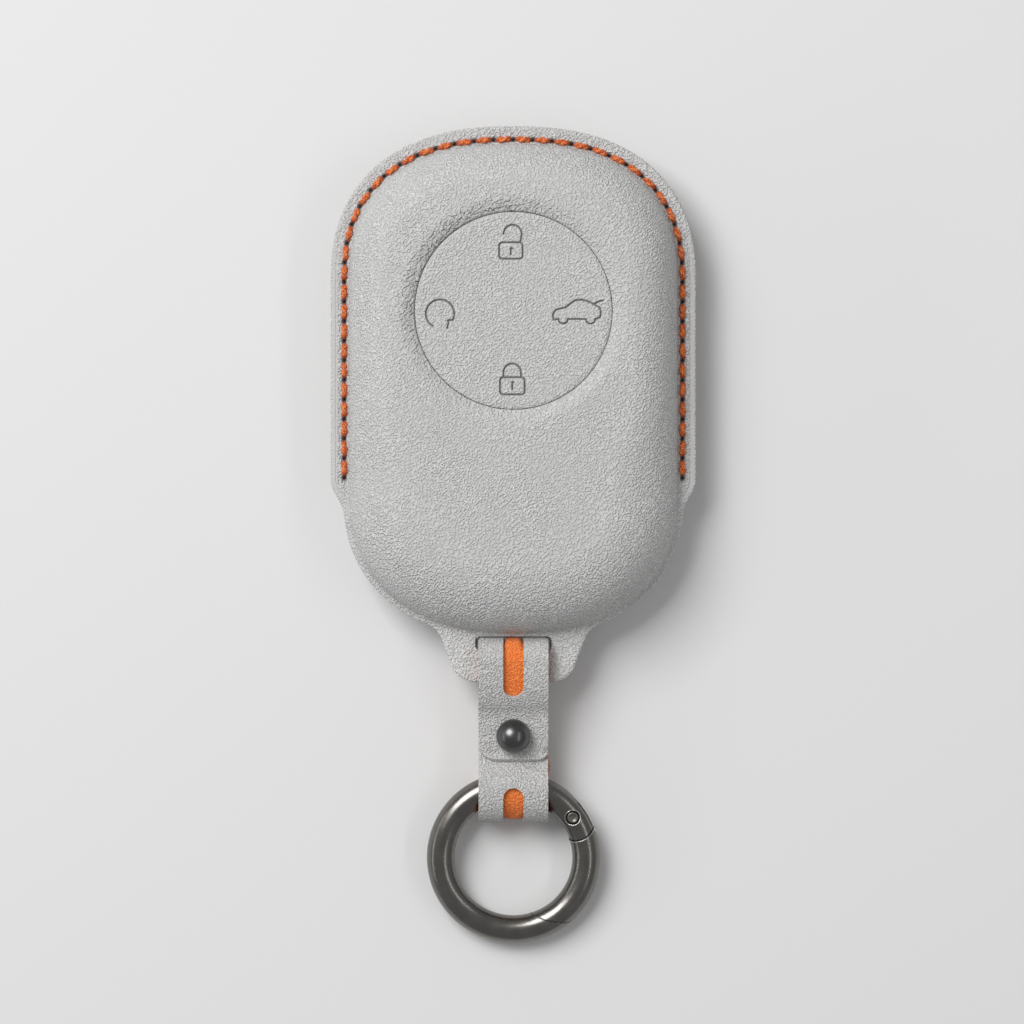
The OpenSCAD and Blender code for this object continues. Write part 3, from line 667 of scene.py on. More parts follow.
def nap_marks(points, top_count, dome):
    """How flat the nap lies (below 0 where it stands up), how much painted light pales it at the foot, and
    how far it wrinkles.
    """
    level = np.clip(points[..., 2] / dome.rise, 0, 1)
    wall = np.where(level < 1, -WALL_FLUFF * eased((1 - level) / WALL_TOP), 0)
    edge = points[top_count - 1, :, :2]
    near_edge = 1 - eased(norm(points[..., :2] - edge) * 2 / PRESS_W - 1)
    rim = pressed_side(edge[:, 1]) * (1 + FLUFF) * near_edge - FLUFF * stitched(edge[:, 1])
    # Painted light: paler towards the bottom, on the foot and the tab that the dome shades.
    painted_foot_light = eased((FOOT_LIGHT_Y - points[..., 1]) / FOOT_LIGHT_LONG) * (1 - eased((level - FOOT_LIGHT_FROM) / FOOT_LIGHT_HIGH))
    away = points[..., :2] - dome.centre
    radius = norm(away)
    near_hole = 1 - eased((radius - dome.hole) / CRUMPLE_W)
    turned = between(CRUMPLE_LEAST, 1, eased((away @ CRUMPLE_FROM) / np.maximum(radius, GLUE)))
    return {"pressed": np.where(level > ON_WALL, wall, rim), "painted_foot_light": painted_foot_light,
            "crumple": near_hole * turned * bool(dome.hole)}


print("fully pressed for y from", -FLANGE_END, "to", PRESS_FADE_Y)

# %% [markdown]
# Now the rows are put in order. The outer ones have a small fillet at the dome's foot and a rounded
# cut edge, and the linings are plain. The front panel faces up from its flange and the back panel is
# the same surface turned over. The linings are thin panels inside them, trimmed a little so that the
# sandwich of layers shows at the edge, as it does where glued leather is cut.

# %% Panels
FILLET = 0.6
EDGE_LONG, EDGE_HIGH = 0.55, 0.3
RIM_ROUND = 0.18
CREASE_IN, CREASE_W, CREASE_DEPTH = 0.78, 0.09, 0.06
# Painted shade in the slot: a light share along its upper edges and a dark one along its lower edges, graded
# down its cut walls.
CUT_PAINTED_SHADE, STRIP_PAINTED_SHADE = 0.9, 0.3
WALL_ROWS, INNER_ROWS, DISH_ROWS, FLAT_ROWS = 20, 8, 14, 14
INNER_FLAT_ROWS, INNER_DISH_ROWS, DISH_END = 4, 5, 0.94
LIP_TURNS, TOE_TURNS, EDGE_TURNS = np.linspace(90, 15, 4), np.linspace(18, 72, 4), np.linspace(18, 90, 5)
SKIN = (0.0, SUEDE_T)
LINING = (SUEDE_T + CORE_T + GLUE, SUEDE_T + CORE_T + LINING_T)
LINING_SHEET = (SUEDE_T + GLUE, SUEDE_T + LINING_T - GLUE)
LINING_TRIM = 0.07


def outer_dome(dome, depth, fillet):
    """Rows from the lip of the hole, or the middle, over the flat and down the wall to the fillet."""
    lowest = math.degrees(math.asin(fillet / dome.rise))
    rows = [dome.wall(depth, np.linspace(90, lowest, WALL_ROWS))]
    if fillet:
        rows.append(rounded(dome.foot, dome.out * fillet, 0, -fillet, TOE_TURNS))
    if not dome.hole:
        return [dome.flat(depth, np.linspace(1, 0, FLAT_ROWS)[:-1]), *rows]
    rim = dome.slope(depth, np.ones(1))[0]
    return [rounded(rim[:, :2], dome.spoke * RIM_ROUND, rim[:, 2], RIM_ROUND, LIP_TURNS),
            dome.slope(depth, np.linspace(DISH_END, 0, DISH_ROWS)),
            dome.flat(depth, np.linspace(1, 0, FLAT_ROWS // 2)[1:-1]), *rows]


def inner_dome(dome, depth):
    """Rows up the inside of the wall and over the flat, and down to the hole where there is one."""
    rows = [dome.wall(depth, np.linspace(0, 90, INNER_ROWS)),
            dome.flat(depth, np.linspace(0, 1, INNER_FLAT_ROWS)[1:])]
    if dome.hole:
        rows.append(dome.slope(depth, np.linspace(0, 1, INNER_DISH_ROWS)[1:]))
    return rows


def painted_hole_shade(shape, pit, flange_start, slot_rows, slot_columns):
    """Painted shade, as a share of dark brown: in the needle holes, and on the cut edges of the slot."""
    painted_shade = np.zeros(shape)
    painted_shade[flange_start:flange_start + len(pit)] = pit
    for row, share in zip(slot_rows, (STRIP_PAINTED_SHADE, CUT_PAINTED_SHADE)):
        painted_shade[row:row + BANDS[1] + 1, :slot_columns + 1] = share
    return np.concatenate([painted_shade, painted_shade[:, -2:0:-1]], axis=1)


def panel(dome, cells, walls, sheet, worked, trim=0.0):
    """The closed skin of a layer, from its depths in the dome and its depths in the flange."""
    outer, inner = walls
    sheet_top, sheet_low = sheet
    s, slot_columns = half_columns(*cells)
    foot, out = foot_at(s)
    dome.grow_from(foot, out)
    outline = outline_at(s)
    step = np.gradient(outline, axis=0)
    step[0], step[-1] = (1, 0), (-1, 0)
    edge_out = right_of(step)
    outline = outline - edge_out * trim
    edge_long, edge_high, fillet = (EDGE_LONG, EDGE_HIGH, FILLET) if worked else (GLUE, GLUE, 0.0)
    end = outline - edge_out * edge_long
    flange = flange_rows(s, foot + out * (fillet - outer), end)
    pit = pit_at(s, np.einsum("rci,ci->rc", flange - foot, out)) * worked
    crease = np.exp(-((norm(flange - outline) - CREASE_IN) / CREASE_W) ** 2) * pressed_side(foot[:, 1])
    dip = PIT_DEPTH * pit + CREASE_DEPTH * crease * worked
    top = [*outer_dome(dome, outer, fillet), with_height(flange, -sheet_top - dip)]
    edge = rounded(outline, end - outline, -sheet_top, edge_high, EDGE_TURNS)
    under = with_height(under_rows(flange, foot - out * inner, outline)[::-1], -sheet_low)
    half = np.concatenate([*top, edge, under, *inner_dome(dome, inner)])
    top_count = sum(map(len, top))
    flange_start = top_count - len(flange)
    slot_rows = (flange_start + BANDS[0], top_count + len(edge) + BANDS[2])
    points, faces = close_panel(half, slot_columns, *slot_rows, bool(dome.hole))
    painted_shade = painted_hole_shade(half.shape[:2], pit, flange_start, slot_rows, slot_columns)
    return points, faces, dict(nap_marks(points, top_count, dome), pit=painted_shade)


def add_panels(layer, node, material, slot, front_cells, back_cells, **options):
    """A layer of the front, which looks up from its flange face, and of the back, looking down."""
    for half, dome, face, side, cells in (("front", FRONT_DOME, FRONT_FACE, 1, front_cells),
                                          ("back", BACK_DOME, BACK_FACE, -1, back_cells)):
        points, faces, marks = panel(dome, cells, **options)
        points = points * [1, 1, side] + [0, 0, face]
        add_piece(half + layer, points, faces, material, "cover", slot, (half + node,), **marks)


add_panels("_panel", "_skin", GREY_SUEDE, "suede", FRONT_CELLS, BACK_CELLS,
           walls=SKIN, sheet=SKIN, worked=True)
add_panels("_pocket_lining", "_lining", PANEL_LINING, "lining", LINING_CELLS, LINING_CELLS,
           walls=LINING, sheet=LINING_SHEET, worked=False, trim=LINING_TRIM)

# %% [markdown]
# The four button symbols are pressed into the disc with a heated stamp, so each line is a small
# trough with flattened nap in it, painted darker as painted shade in the trough. The symbols are the
# plain functions of a key: open, close, alarm loop and boot. Each is a few straight lines and arcs,
# and the depth at a point follows from its distance to the nearest line.

# %% Button symbols
# The troughs are darkened by a share of dark brown, as painted shade.
STROKE_HALF, STROKE_DEPTH, STROKE_PAINTED_SHADE = 0.165, 0.36, 0.66
LOCK_ROUND, WHEEL_R = 0.45, 0.66


def rounded_box(left, right, low, high):
    """The outline of a lock's body with round corners, closed."""
    left, right, low, high = left + LOCK_ROUND, right - LOCK_ROUND, low + LOCK_ROUND, high - LOCK_ROUND
    corners = [(right, high, 90, 0), (right, low, 0, -90), (left, low, -90, -180), (left, high, 180, 90)]
    parts = [arc((x, y), LOCK_ROUND, start, end, 5) for x, y, start, end in corners]
    return np.concatenate(parts + [parts[0][:1]])


def open_lock():
    """A padlock whose shackle is lifted on one side, with a keyhole line."""
    shackle = np.concatenate([arc((0.06, 10.9), 1.29, 180, 0, 16), [(1.2, 9.9)]])
    return [rounded_box(-1.85, 1.46, 7.38, 9.71), shackle, [(-0.2, 8.02), (-0.2, 8.9), (0.12, 8.84)]]


def closed_lock():
    """A padlock with both legs of its shackle in the body."""
    shackle = np.concatenate([[(-1.25, -9.42)], arc((0, -8.73), 1.25, 180, 0, 16), [(1.25, -9.42)]])
    return [rounded_box(-1.73, 1.77, -11.85, -9.42), shackle, [(0.02, -11.15), (0, -10.1), (0.2, -10.12)]]


def alarm_loop():
    """An arrow bent into a ring that is open at the bottom."""
    loop = arc((-10.23, -0.42), 2.02, 240.5, -59, 28)
    return [loop[:-3], [loop[-4], (-8.85, -1.32), (-9.12, -1.36), (-9.02, -1.7), (-9.22, -2.45)]]


def boot():
    """The outline of a car from the side, with its two wheels and its boot lid raised."""
    roof = [(5.88, -1.25), (5.76, -0.48), (6.17, 0.15), (7.59, 0.5), (8.32, 1.08), (8.94, 1.5), (9.88, 1.58),
            (10.91, 1.29), (11.75, 0.83), (12.41, 0.46), (12.58, -0.17), (12.47, -0.89), (11.78, -1.16)]
    wheels = [arc((x, -1.16), WHEEL_R, 0, -180, 10) for x in (11.12, 7.23)]
    return [np.concatenate([roof, *wheels, roof[:1]]), [(11.64, 0.98), (12.16, 1.29), (12.89, 1.5)]]


def stroke_distance(at, strokes):
    """Distance from each point to the nearest of all the segments."""
    starts = np.concatenate([line[:-1] for line in strokes])
    steps = np.concatenate([np.diff(line, axis=0) for line in strokes])
    nearest = np.full(len(at), np.inf)
    for start, step in zip(starts[steps.any(axis=1)], steps[steps.any(axis=1)]):
        share = np.clip((at - start) @ step / (step @ step), 0, 1)
        nearest = np.minimum(nearest, norm(at - start - share[:, None] * step))
    return nearest


SYMBOLS = open_lock() + closed_lock() + alarm_loop() + boot()
print("strokes in the symbols:", len(SYMBOLS))

# %% [markdown]
# The disc is the part of the suede that a thumb presses. A square grid bent into a circle keeps its
# cells nearly even, so the symbols are as sharp in the middle as at the rim.

# %% Press disc
DISC_CELLS = 290
DISC_RIM, RIM_DROP = 0.8, 0.3
RIM_TURNS = [15, 30, 45, 58, 70, 80, 90]
SYMBOL_SHIFT = (0.15, 0.07)


def disc_from_square(cells):
    """Points of the unit disc: rings of a square grid become circles, and its cells stay even."""
    a, b = np.meshgrid(np.linspace(-1, 1, cells + 1), np.linspace(-1, 1, cells + 1))
    wide = np.abs(a) > np.abs(b)
    radius = np.where(wide, a, b)
    turn = math.pi / 4 * np.where(wide, b, a) / np.where(radius == 0, 1, radius)
    near, far = radius * np.cos(turn), radius * np.sin(turn)
    return joined(np.where(wide, near, far), np.where(wide, far, near)).reshape(-1, 2)


def press_disc():
    """The disc's top with its troughs, its rounded rim, its side and its flat underside."""
    unit = disc_from_square(DISC_CELLS)
    flat = unit * (DISC_R - DISC_RIM)
    away = stroke_distance(flat + SYMBOL_SHIFT, SYMBOLS) / STROKE_HALF
    trough = np.maximum(0, 1 - away ** 2) ** 1.5
    top = with_height(flat, disc_high[2] - STROKE_DEPTH * trough)
    side = DISC_CELLS + 1
    edge = np.arange(side)
    ring = np.concatenate([edge, edge[1:] * side + side - 1,
                           side * side - 1 - edge[1:], (side - 2 - edge[:-2]) * side])
    rim = rounded(unit[ring] * DISC_R, -unit[ring] * DISC_RIM, disc_high[2], RIM_DROP, RIM_TURNS)
    skirt = [with_height(rim[-1], disc_low[2]), with_height(rim[-1] * 0, disc_low[2])]
    layers = np.concatenate([rim, skirt])
    points = np.concatenate([top, layers.reshape(-1, 3)]) + [0, DISC_Y, 0]
    start = len(top) + np.arange(len(ring))
    faces = [grid_quads(side, side), strip_quads(np.append(ring, ring[0]), np.append(start, start[0])),
             len(top) + grid_quads(len(layers), len(ring), wrap_columns=True)]
    return points, faces, np.concatenate([trough, np.zeros(layers[..., 0].size)])


disc_points, disc_faces, stamped = press_disc()
# The stamped troughs carry painted shade.
add_piece("thumb_disc", disc_points, disc_faces, GREY_SUEDE, "disc", "suede", ("press_disc",), 60,
          pressed=np.minimum(1, stamped * 2), pit=stamped * STROKE_PAINTED_SHADE)

# %% [markdown]
# A stitch is two plies twisted round each other. It comes out of one hole, lies on the suede and
# dives into the next, where its plies thin and close up. One stitch is worked out straight, and then
# each is laid along the seam, so the whole row bends with the dome's foot. No two are quite alike:
# the twist starts anywhere, and each leans a little.

# %% Stitches
PLY_R, PLY_OFFSET, PLY_TURNS = 0.30, 0.17, 1.0
STITCH_REACH, STITCH_RISE, STITCH_SINK = 1.17, 0.30, 0.60
END_THIN, END_CLOSE, LEAN = 0.35, 0.5, 0.05
THIN_POWER, DIVE_POWER, DARK_POWER = 6, 4, 2
PLY_RINGS, PLY_SIDES = 17, 8


def stitch_row(height, side, seed):
    """All the stitches of one seam: tubes round x = o cos(t), z = h + o sin(t), laid along the seam."""
    rng = np.random.default_rng(seed)
    share = np.linspace(-1, 1, PLY_RINGS)[:, None]
    around = circle(PLY_SIDES)
    start = rng.uniform(0, 2 * math.pi, STITCHES)[:, None, None, None]
    lean = rng.normal(0, LEAN, STITCHES)[:, None, None, None]
    twist = np.array([0, math.pi])[:, None, None] + start + math.pi * PLY_TURNS * share
    thick = PLY_R * (1 - END_THIN * share ** THIN_POWER)
    offset = PLY_OFFSET * (1 - END_CLOSE * share ** DIVE_POWER)
    lift = STITCH_RISE - (STITCH_RISE + STITCH_SINK) * share ** DIVE_POWER
    across = offset * np.cos(twist) + thick * np.cos(around) + lean * share
    up = lift + offset * np.sin(twist) + thick * np.sin(around)
    run = (np.arange(STITCHES) + 0.5)[:, None, None, None] * PITCH + STITCH_REACH * share
    whole = STITCHES * PITCH / 2
    right = run <= whole
    foot, out = foot_at(np.interp(np.where(right, run, 2 * whole - run), seam_run, FOOT_S))
    at = foot + out * (FLANGE_W - SEAM_INSET + across)[..., None]
    points = joined(at[..., 0] * np.where(right, 1, -1), at[..., 1], height + side * up)
    first = np.arange(STITCHES * 2)[:, None, None] * PLY_RINGS * PLY_SIDES
    tube = grid_quads(PLY_RINGS, PLY_SIDES, wrap_columns=True).reshape(-1, 4)
    end = np.arange(PLY_SIDES)
    caps = np.stack([end[::-1], (PLY_RINGS - 1) * PLY_SIDES + end])
    return points, [first + tube, first + caps], np.broadcast_to(share ** DARK_POWER, points.shape[:-1])


for half, height, side, seed in (("front", FRONT_FACE, 1, 3), ("back", BACK_FACE, -1, 8)):
    points, faces, ends = stitch_row(height, side, seed)
    add_piece(half + "_thread", points, faces, THREAD, "cover", "thread", (half + "_stitches",), 70,
              ends=ends)

# %% [markdown]
# The strap is one strip in two layers: orange inside, grey suede outside, with two long windows cut
# in the suede only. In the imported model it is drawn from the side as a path, and the layers lie at
# fixed distances from it. The same path is followed here in finer steps: u runs from the tabs' bar
# down the strap and w up. The flap leaves its fold in an arch and lands on the front leg without a
# corner, as stiff leather does, and the loop keeps a little slack round the ring.

# %% The strap's path
STRAP_W = 10.0
STRAP_SUEDE_T, STRAP_LINING_T = 0.7, 0.4
STRAP_T = STRAP_SUEDE_T + STRAP_LINING_T
BAR_GAP, RING_GAP, RING_U, STUD_U = 2.0, 2.95, 18.2, 9.8
FLAP_END_U, INNER_END_U = 13.7, 7.3
STACK_W, SLACK, LOOP_SLACK = STRAP_T / 2, 0.05, 0.45
LOOP_END = RING_U + RING_GAP + LOOP_SLACK
SCREW_HEAD_R, RING_LEAD = 2.2, 0.8
BAR_Y = (slot_bottom + TAB_BOTTOM) / 2
BAR_HALF = (slot_bottom - TAB_BOTTOM) / 2
FOLD_REACH, CREST_W, KNEE = 4.2, 2.6, 0.73
FOLD_U = BAR_GAP + STRAP_T - FOLD_REACH
PINCH_U = STUD_U - SCREW_HEAD_R - SLACK
RISE_U = STUD_U + SCREW_HEAD_R + SLACK
FULL_U = RING_U - RING_LEAD
STRAP_SLOPE = math.asin((SEAM_Z - RING_GAP - STRAP_T) / RING_U)
TURN_STEPS, LEG_STEPS = 60, 200


def front_leg(u):
    """Height of the front leg's outer face: low at the stud, rising round the ring."""
    return between(STACK_W, RING_GAP + STRAP_T, eased((u - RISE_U) / (FULL_U - RISE_U)))


def front_under(u):
    """Height of its inner face: a full thickness below, measured square to the slope."""
    slope = (front_leg(u + GLUE) - front_leg(u - GLUE)) / (2 * GLUE)
    return front_leg(u) - STRAP_T * np.hypot(1, slope)


def back_leg(u):
    """Height of the back leg's inner face, from the bar, through the stud, to the ring."""
    near = between(BAR_GAP, STACK_W + SLACK, eased((u - BAR_HALF) / (PINCH_U - BAR_HALF)))
    return -between(near, RING_GAP, eased((u - RISE_U) / (FULL_U - RISE_U)))


def flap_leg(u):
    """Height of the flap's inner face: 1 - k t^3 down to the knee, then a square that lands level."""
    share = np.clip((u - FOLD_U) / (PINCH_U - FOLD_U), 0, 1)
    steep = 1 / (KNEE ** 3 + 1.5 * KNEE ** 2 * (1 - KNEE))
    landing = 1.5 * steep * KNEE ** 2 * (1 - share) ** 2 / (1 - KNEE)
    lying = front_leg(u) + SLACK
    return np.maximum(lying, between(lying, CREST_W, np.where(share < KNEE, 1 - steep * share ** 3, landing)))


def turn_path(centre_u, wide, high, start, end, side):
    """Points of a fold between two angles from straight up or, with side -1, straight down."""
    angle = np.radians(np.linspace(start, end, TURN_STEPS))
    return joined(centre_u - side * wide * np.sin(angle), side * high * np.cos(angle))


def leg_path(start, end, height):
    """Points of a leg between two places along the strap, without the first."""
    u = np.linspace(start, end, LEG_STEPS)[1:]
    return joined(u, height(u))


STRAP_PATH = np.concatenate([
    turn_path(FOLD_U, BAR_GAP, BAR_GAP, 90, 180, 1), leg_path(FOLD_U, RING_U, back_leg),
    turn_path(RING_U, RING_GAP + LOOP_SLACK, RING_GAP, 0, 180, -1)[1:],
    leg_path(RING_U, INNER_END_U, front_under)])
FLAP_PATH = np.concatenate([
    turn_path(FOLD_U, BAR_GAP, CREST_W, 90, 0, 1), leg_path(FOLD_U, FLAP_END_U, flap_leg)])


def strap_to_world(x, u, w):
    """From the strap's own frame to the world: turned by its slope about the bar."""
    cos, sin = math.cos(STRAP_SLOPE), math.sin(STRAP_SLOPE)
    return joined(x, BAR_Y - u * cos - w * sin, SEAM_Z - u * sin + w * cos)


print("fold", round(FOLD_U, 3), "slope", round(math.degrees(STRAP_SLOPE), 2), "bar y", round(BAR_Y, 2))

# %% [markdown]
# A layer is a slab: a grid above and a grid below, and walls wherever a cell is missing. Cutting the
# windows out with a boolean was the other way, but it leaves ragged faces. Here a window or a hole
# is only a set of cells left out. Its round end is made by sliding the rows, and the stud's hole by
# pushing the grid away from a point, as a punch does. The strip is a little narrower at its folds,
# where the leather draws in, and the orange layer swells into the windows there.

# %% A layer of the strap
HALF_STRAP = STRAP_W / 2
WINDOW_HALF, STUD_HOLE_R = 1.45, 2.1
FLAP_CORNERS = (2.8, 1.6)
FADE, PUNCH_FADE = 3.6, 1.2
SKIVE_W, SWELL_W = 2.0, 0.6
FOLD_CORNER, LOOP_CORNER = 0.35, 0.65
WINDOW_COLUMNS, CORNER_COLUMNS = 15, 7


def sagged(radius, over):
    """How far a quarter circle falls away over a distance: r - sqrt(r^2 - d^2)."""
    return radius - np.sqrt(np.maximum(0, radius ** 2 - over ** 2))


class Strip:
    """A layer of the strap: rows along a path, columns across it, and cells that are left out."""

    def __init__(self, path, inner, outer):
        self.path, self.inner, self.outer = path, inner, outer
        self.normal = (1 if path is STRAP_PATH else -1) * right_of(np.gradient(path, axis=0))
        self.run = run_of(path)
        self.face = path[:, 0] + outer * self.normal[:, 0]
        self.marks = [0, self.run[-1]]

    def run_at(self, u, back=False):
        """Distance along the path at which the outer face passes u, on the way down or back."""
        far = int(np.argmax(self.face))
        leg = slice(None, far - 1 if far else None, -1) if back else slice(far + 1)
        return np.interp(u, self.face[leg], self.run[leg])

    def grid(self, row_step, column_step):
        """Rows and columns that pass through every mark."""
        radius = min(FLAP_CORNERS)
        edge = HALF_STRAP - radius
        bends = WINDOW_HALF * np.sin(np.linspace(-math.pi / 2, math.pi / 2, WINDOW_COLUMNS))
        corner = edge + radius * np.sin(np.linspace(0, math.pi / 2, CORNER_COLUMNS))
        middle = np.linspace(STUD_HOLE_R, edge, 1 + round((edge - STUD_HOLE_R) / column_step))
        right = np.concatenate([[(WINDOW_HALF + STUD_HOLE_R) / 2], middle[:-1], corner])
        self.x = np.concatenate([-right[::-1], bends, right])
        marks = sorted(set(np.round(self.marks, 5)))
        rows = [np.linspace(a, b, max(2, 1 + round((b - a) / row_step)))[:-1]
                for a, b in zip(marks, marks[1:])]
        self.s = np.concatenate(rows + [[marks[-1]]])
        self.x2, self.s2 = np.meshgrid(self.x, self.s)
        self.keep = np.ones((len(self.s) - 1, len(self.x) - 1), bool)
        return self

    def cut(self, half_width, start, end):
        """Leaves out the cells between two distances, to both sides of the middle."""
        x, s = (self.x[1:] + self.x[:-1]) / 2, (self.s[1:] + self.s[:-1])[:, None] / 2
        self.keep &= ~((np.abs(x) < half_width) & (s > start) & (s < end))
        return self

    def arch(self, end_u, side, back=False):
        """Slides the rows to a window's round end, a half circle in plan that reaches end_u."""
        mark = self.run_at(end_u - side * WINDOW_HALF, back)
        slide = self.run_at(end_u - side * sagged(WINDOW_HALF, self.x), back) - mark
        self.s2 = self.s2 + slide * (1 - eased(np.abs(self.s[:, None] - mark) / FADE))
        return self

    def round_end(self, trim=0.0):
        """Slides the last rows back at the sides, so that the corners are round."""
        radius = np.where(self.x2 < 0, *FLAP_CORNERS)
        back = trim + sagged(radius, np.maximum(0, np.abs(self.x2) - (HALF_STRAP - radius)))
        self.s2 = self.s2 - back * (1 - eased((self.run[-1] - self.s[:, None]) / FADE))
        return self

    def swell(self, near_by, far_by):
        """Thickens the layer where it bends, in the middle of its width, as if it filled the window."""
        face = np.interp(self.s2, self.run, self.face)
        middle = 1 - eased((np.abs(self.x2) - WINDOW_HALF + SWELL_W) / SWELL_W)
        near = eased((SWELL_W - FOLD_REACH + STRAP_T - face) / SWELL_W)
        far = eased((face - LOOP_END + SWELL_W) / SWELL_W)
        self.outer = self.outer + middle * (near_by * near + far_by * far)
        return self

    def skive(self, end_outer, end_inner):
        """Pares the layer down towards its end, as a strap maker does where layers meet."""
        left = self.s2[-1:] - self.s2
        self.outer = between(end_outer, self.outer, eased(left / SKIVE_W))
        self.inner = between(end_inner, self.inner, eased(left / SKIVE_W * 2))
        return self

    def punch(self, centre):
        """Makes a round hole: squares about it become circles that fade back to squares."""
        self.cut(STUD_HOLE_R, centre - STUD_HOLE_R, centre + STUD_HOLE_R)
        dx, ds = self.x2, self.s2 - centre
        square = np.maximum(np.abs(dx), np.abs(ds))
        circled = square / np.maximum(np.hypot(dx, ds), GLUE)
        pull = between(circled, 1, eased((square - STUD_HOLE_R) / PUNCH_FADE))
        self.x2, self.s2 = dx * pull, centre + ds * pull
        return self

    def width_at(self, u):
        """Share of the width that is left at the folds, whose corners are round in plan."""
        far = sagged(LOOP_CORNER, np.clip(u - LOOP_END - STRAP_T + LOOP_CORNER, 0, LOOP_CORNER))
        near = sagged(FOLD_CORNER, np.clip(FOLD_CORNER - FOLD_REACH - u, 0, FOLD_CORNER))
        return 1 - (far + near) / HALF_STRAP

    def build(self, spread=None):
        """Points and quads of the slab, with walls round every edge that the kept cells leave."""
        u, w, nu, nw = [np.interp(self.s2, self.run, line) for line in (*self.path.T, *self.normal.T)]
        points = []
        for depth in (self.outer, self.inner):
            deep = depth / np.hypot(nu, nw)
            du, dw = u + deep * nu, w + deep * nw
            x = self.x2 * self.width_at(du) + (spread(self.x2, du, dw) if spread else 0)
            points.append(strap_to_world(x, du, dw).reshape(-1, 3))
        below = self.x2.size
        quads = grid_quads(*self.x2.shape)[self.keep]
        edges = np.concatenate([quads[:, [i, (i + 1) % 4]] for i in range(4)])
        _, first, count = np.unique(np.sort(edges, axis=1), axis=0, return_index=True, return_counts=True)
        rim = edges[first[count == 1]]
        walls = np.column_stack([rim[:, ::-1], rim + below])
        used, faces = np.unique(np.concatenate([quads, quads[:, ::-1] + below, walls]), return_inverse=True)
        return np.concatenate(points)[used], [faces.reshape(-1, 4)]


print("strap path", round(run_of(STRAP_PATH)[-1], 1), "flap path", round(run_of(FLAP_PATH)[-1], 1))

# %% [markdown]
# The four layers differ in their path, their cuts and their ends. The grey one goes from the slot,
# under the tab, round the ring and back to the stud, and the flap's from the slot over the tab to
# its free end. The orange lies whole behind the windows, and peeps out beside the grey where the
# two were glued a little askew.

# %% Strap layers
WINDOW_NEAR, WINDOW_FAR = 4.2, 17.1
FLAP_END_T, FLAP_LINING_TRIM = 0.72, 0.7
FOLD_SWELL, LOOP_SWELL = 0.66, 0.2
PEEP_RIGHT, PEEP_LEFT = (0.24, 15.2, 1.6), (0.38, 18.9, 1.0)
SUEDE_LAYER = (STRAP_LINING_T + GLUE, STRAP_T)
LINING_LAYER = (0, STRAP_LINING_T)


def strap_suede():
    """The grey layer of the strap, with its windows."""
    strip = Strip(STRAP_PATH, *SUEDE_LAYER)
    upper, low_start = strip.run_at(WINDOW_NEAR - WINDOW_HALF), strip.run_at(WINDOW_FAR + WINDOW_HALF)
    low_end = strip.run_at(WINDOW_FAR + WINDOW_HALF, True)
    strip.marks += [upper, low_start, low_end]
    strip.grid(row_step=0.34, column_step=0.4)
    strip.cut(WINDOW_HALF, -1, upper).cut(WINDOW_HALF, low_start, low_end)
    return strip.arch(WINDOW_NEAR, 1).arch(WINDOW_FAR, -1).arch(WINDOW_FAR, -1, True).build()


def flap_suede():
    """The grey layer of the flap, with its window and the stud's hole."""
    strip = Strip(FLAP_PATH, *SUEDE_LAYER)
    upper, stud = strip.run_at(WINDOW_NEAR - WINDOW_HALF), strip.run_at(STUD_U)
    strip.marks += [upper, stud - STUD_HOLE_R, stud + STUD_HOLE_R]
    strip.grid(row_step=0.3, column_step=0.4).cut(WINDOW_HALF, -1, upper).arch(WINDOW_NEAR, 1)
    return strip.round_end().punch(stud).skive(FLAP_END_T, SLACK).build()


def peep(x, u, w):
    """How far the orange spreads: bells of a height, place and width along the back leg's sides."""
    right, left = [far * np.exp(-((u - at) / wide) ** 2) * eased(side * x / HALF_STRAP)
                   for (far, at, wide), side in ((PEEP_RIGHT, 1), (PEEP_LEFT, -1))]
    return eased(-w / STACK_W) * (right - left)


def strap_lining():
    """The orange layer of the strap."""
    strip = Strip(STRAP_PATH, *LINING_LAYER).grid(row_step=0.4, column_step=0.6)
    return strip.swell(FOLD_SWELL, LOOP_SWELL).build(peep)


def flap_lining():
    """The orange layer of the flap."""
    strip = Strip(FLAP_PATH, *LINING_LAYER)
    stud = strip.run_at(STUD_U)
    strip.marks += [stud - STUD_HOLE_R, stud + STUD_HOLE_R]
    strip.grid(row_step=0.4, column_step=0.5).round_end(FLAP_LINING_TRIM).punch(stud)
    return strip.swell(FOLD_SWELL, 0).skive(SLACK * 2, 0).build()


def soften(piece, width_mm):
    """Rounds the cut edges of a layer."""
    bevel = piece.modifiers.new("cut_edge", "BEVEL")
    bevel.width = width_mm * MM
    bevel.segments = 2
    bevel.limit_method = "ANGLE"
    bevel.angle_limit = math.radians(50)
    bevel.harden_normals = True


for name, build, material, slot, body, edge in (
        ("strap_suede", strap_suede, STRAP_SUEDE, "suede", "strap", 0.16),
        ("strap_lining", strap_lining, ORANGE_SUEDE, "orange_lining", "strap", 0.05),
        ("flap_suede", flap_suede, STRAP_SUEDE, "suede", "flap", 0.16),
        ("flap_lining", flap_lining, ORANGE_SUEDE, "orange_lining", "flap", 0.05)):
    piece = add_piece("sewn_" + name, *build(), material, None if body == "flap" else body, slot, (), 180)
    soften(piece, edge)
    if body == "flap":
        hinge = strap_to_world(0, FOLD_U, BAR_GAP + STACK_W) * MM
        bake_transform(piece)
    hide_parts(name)

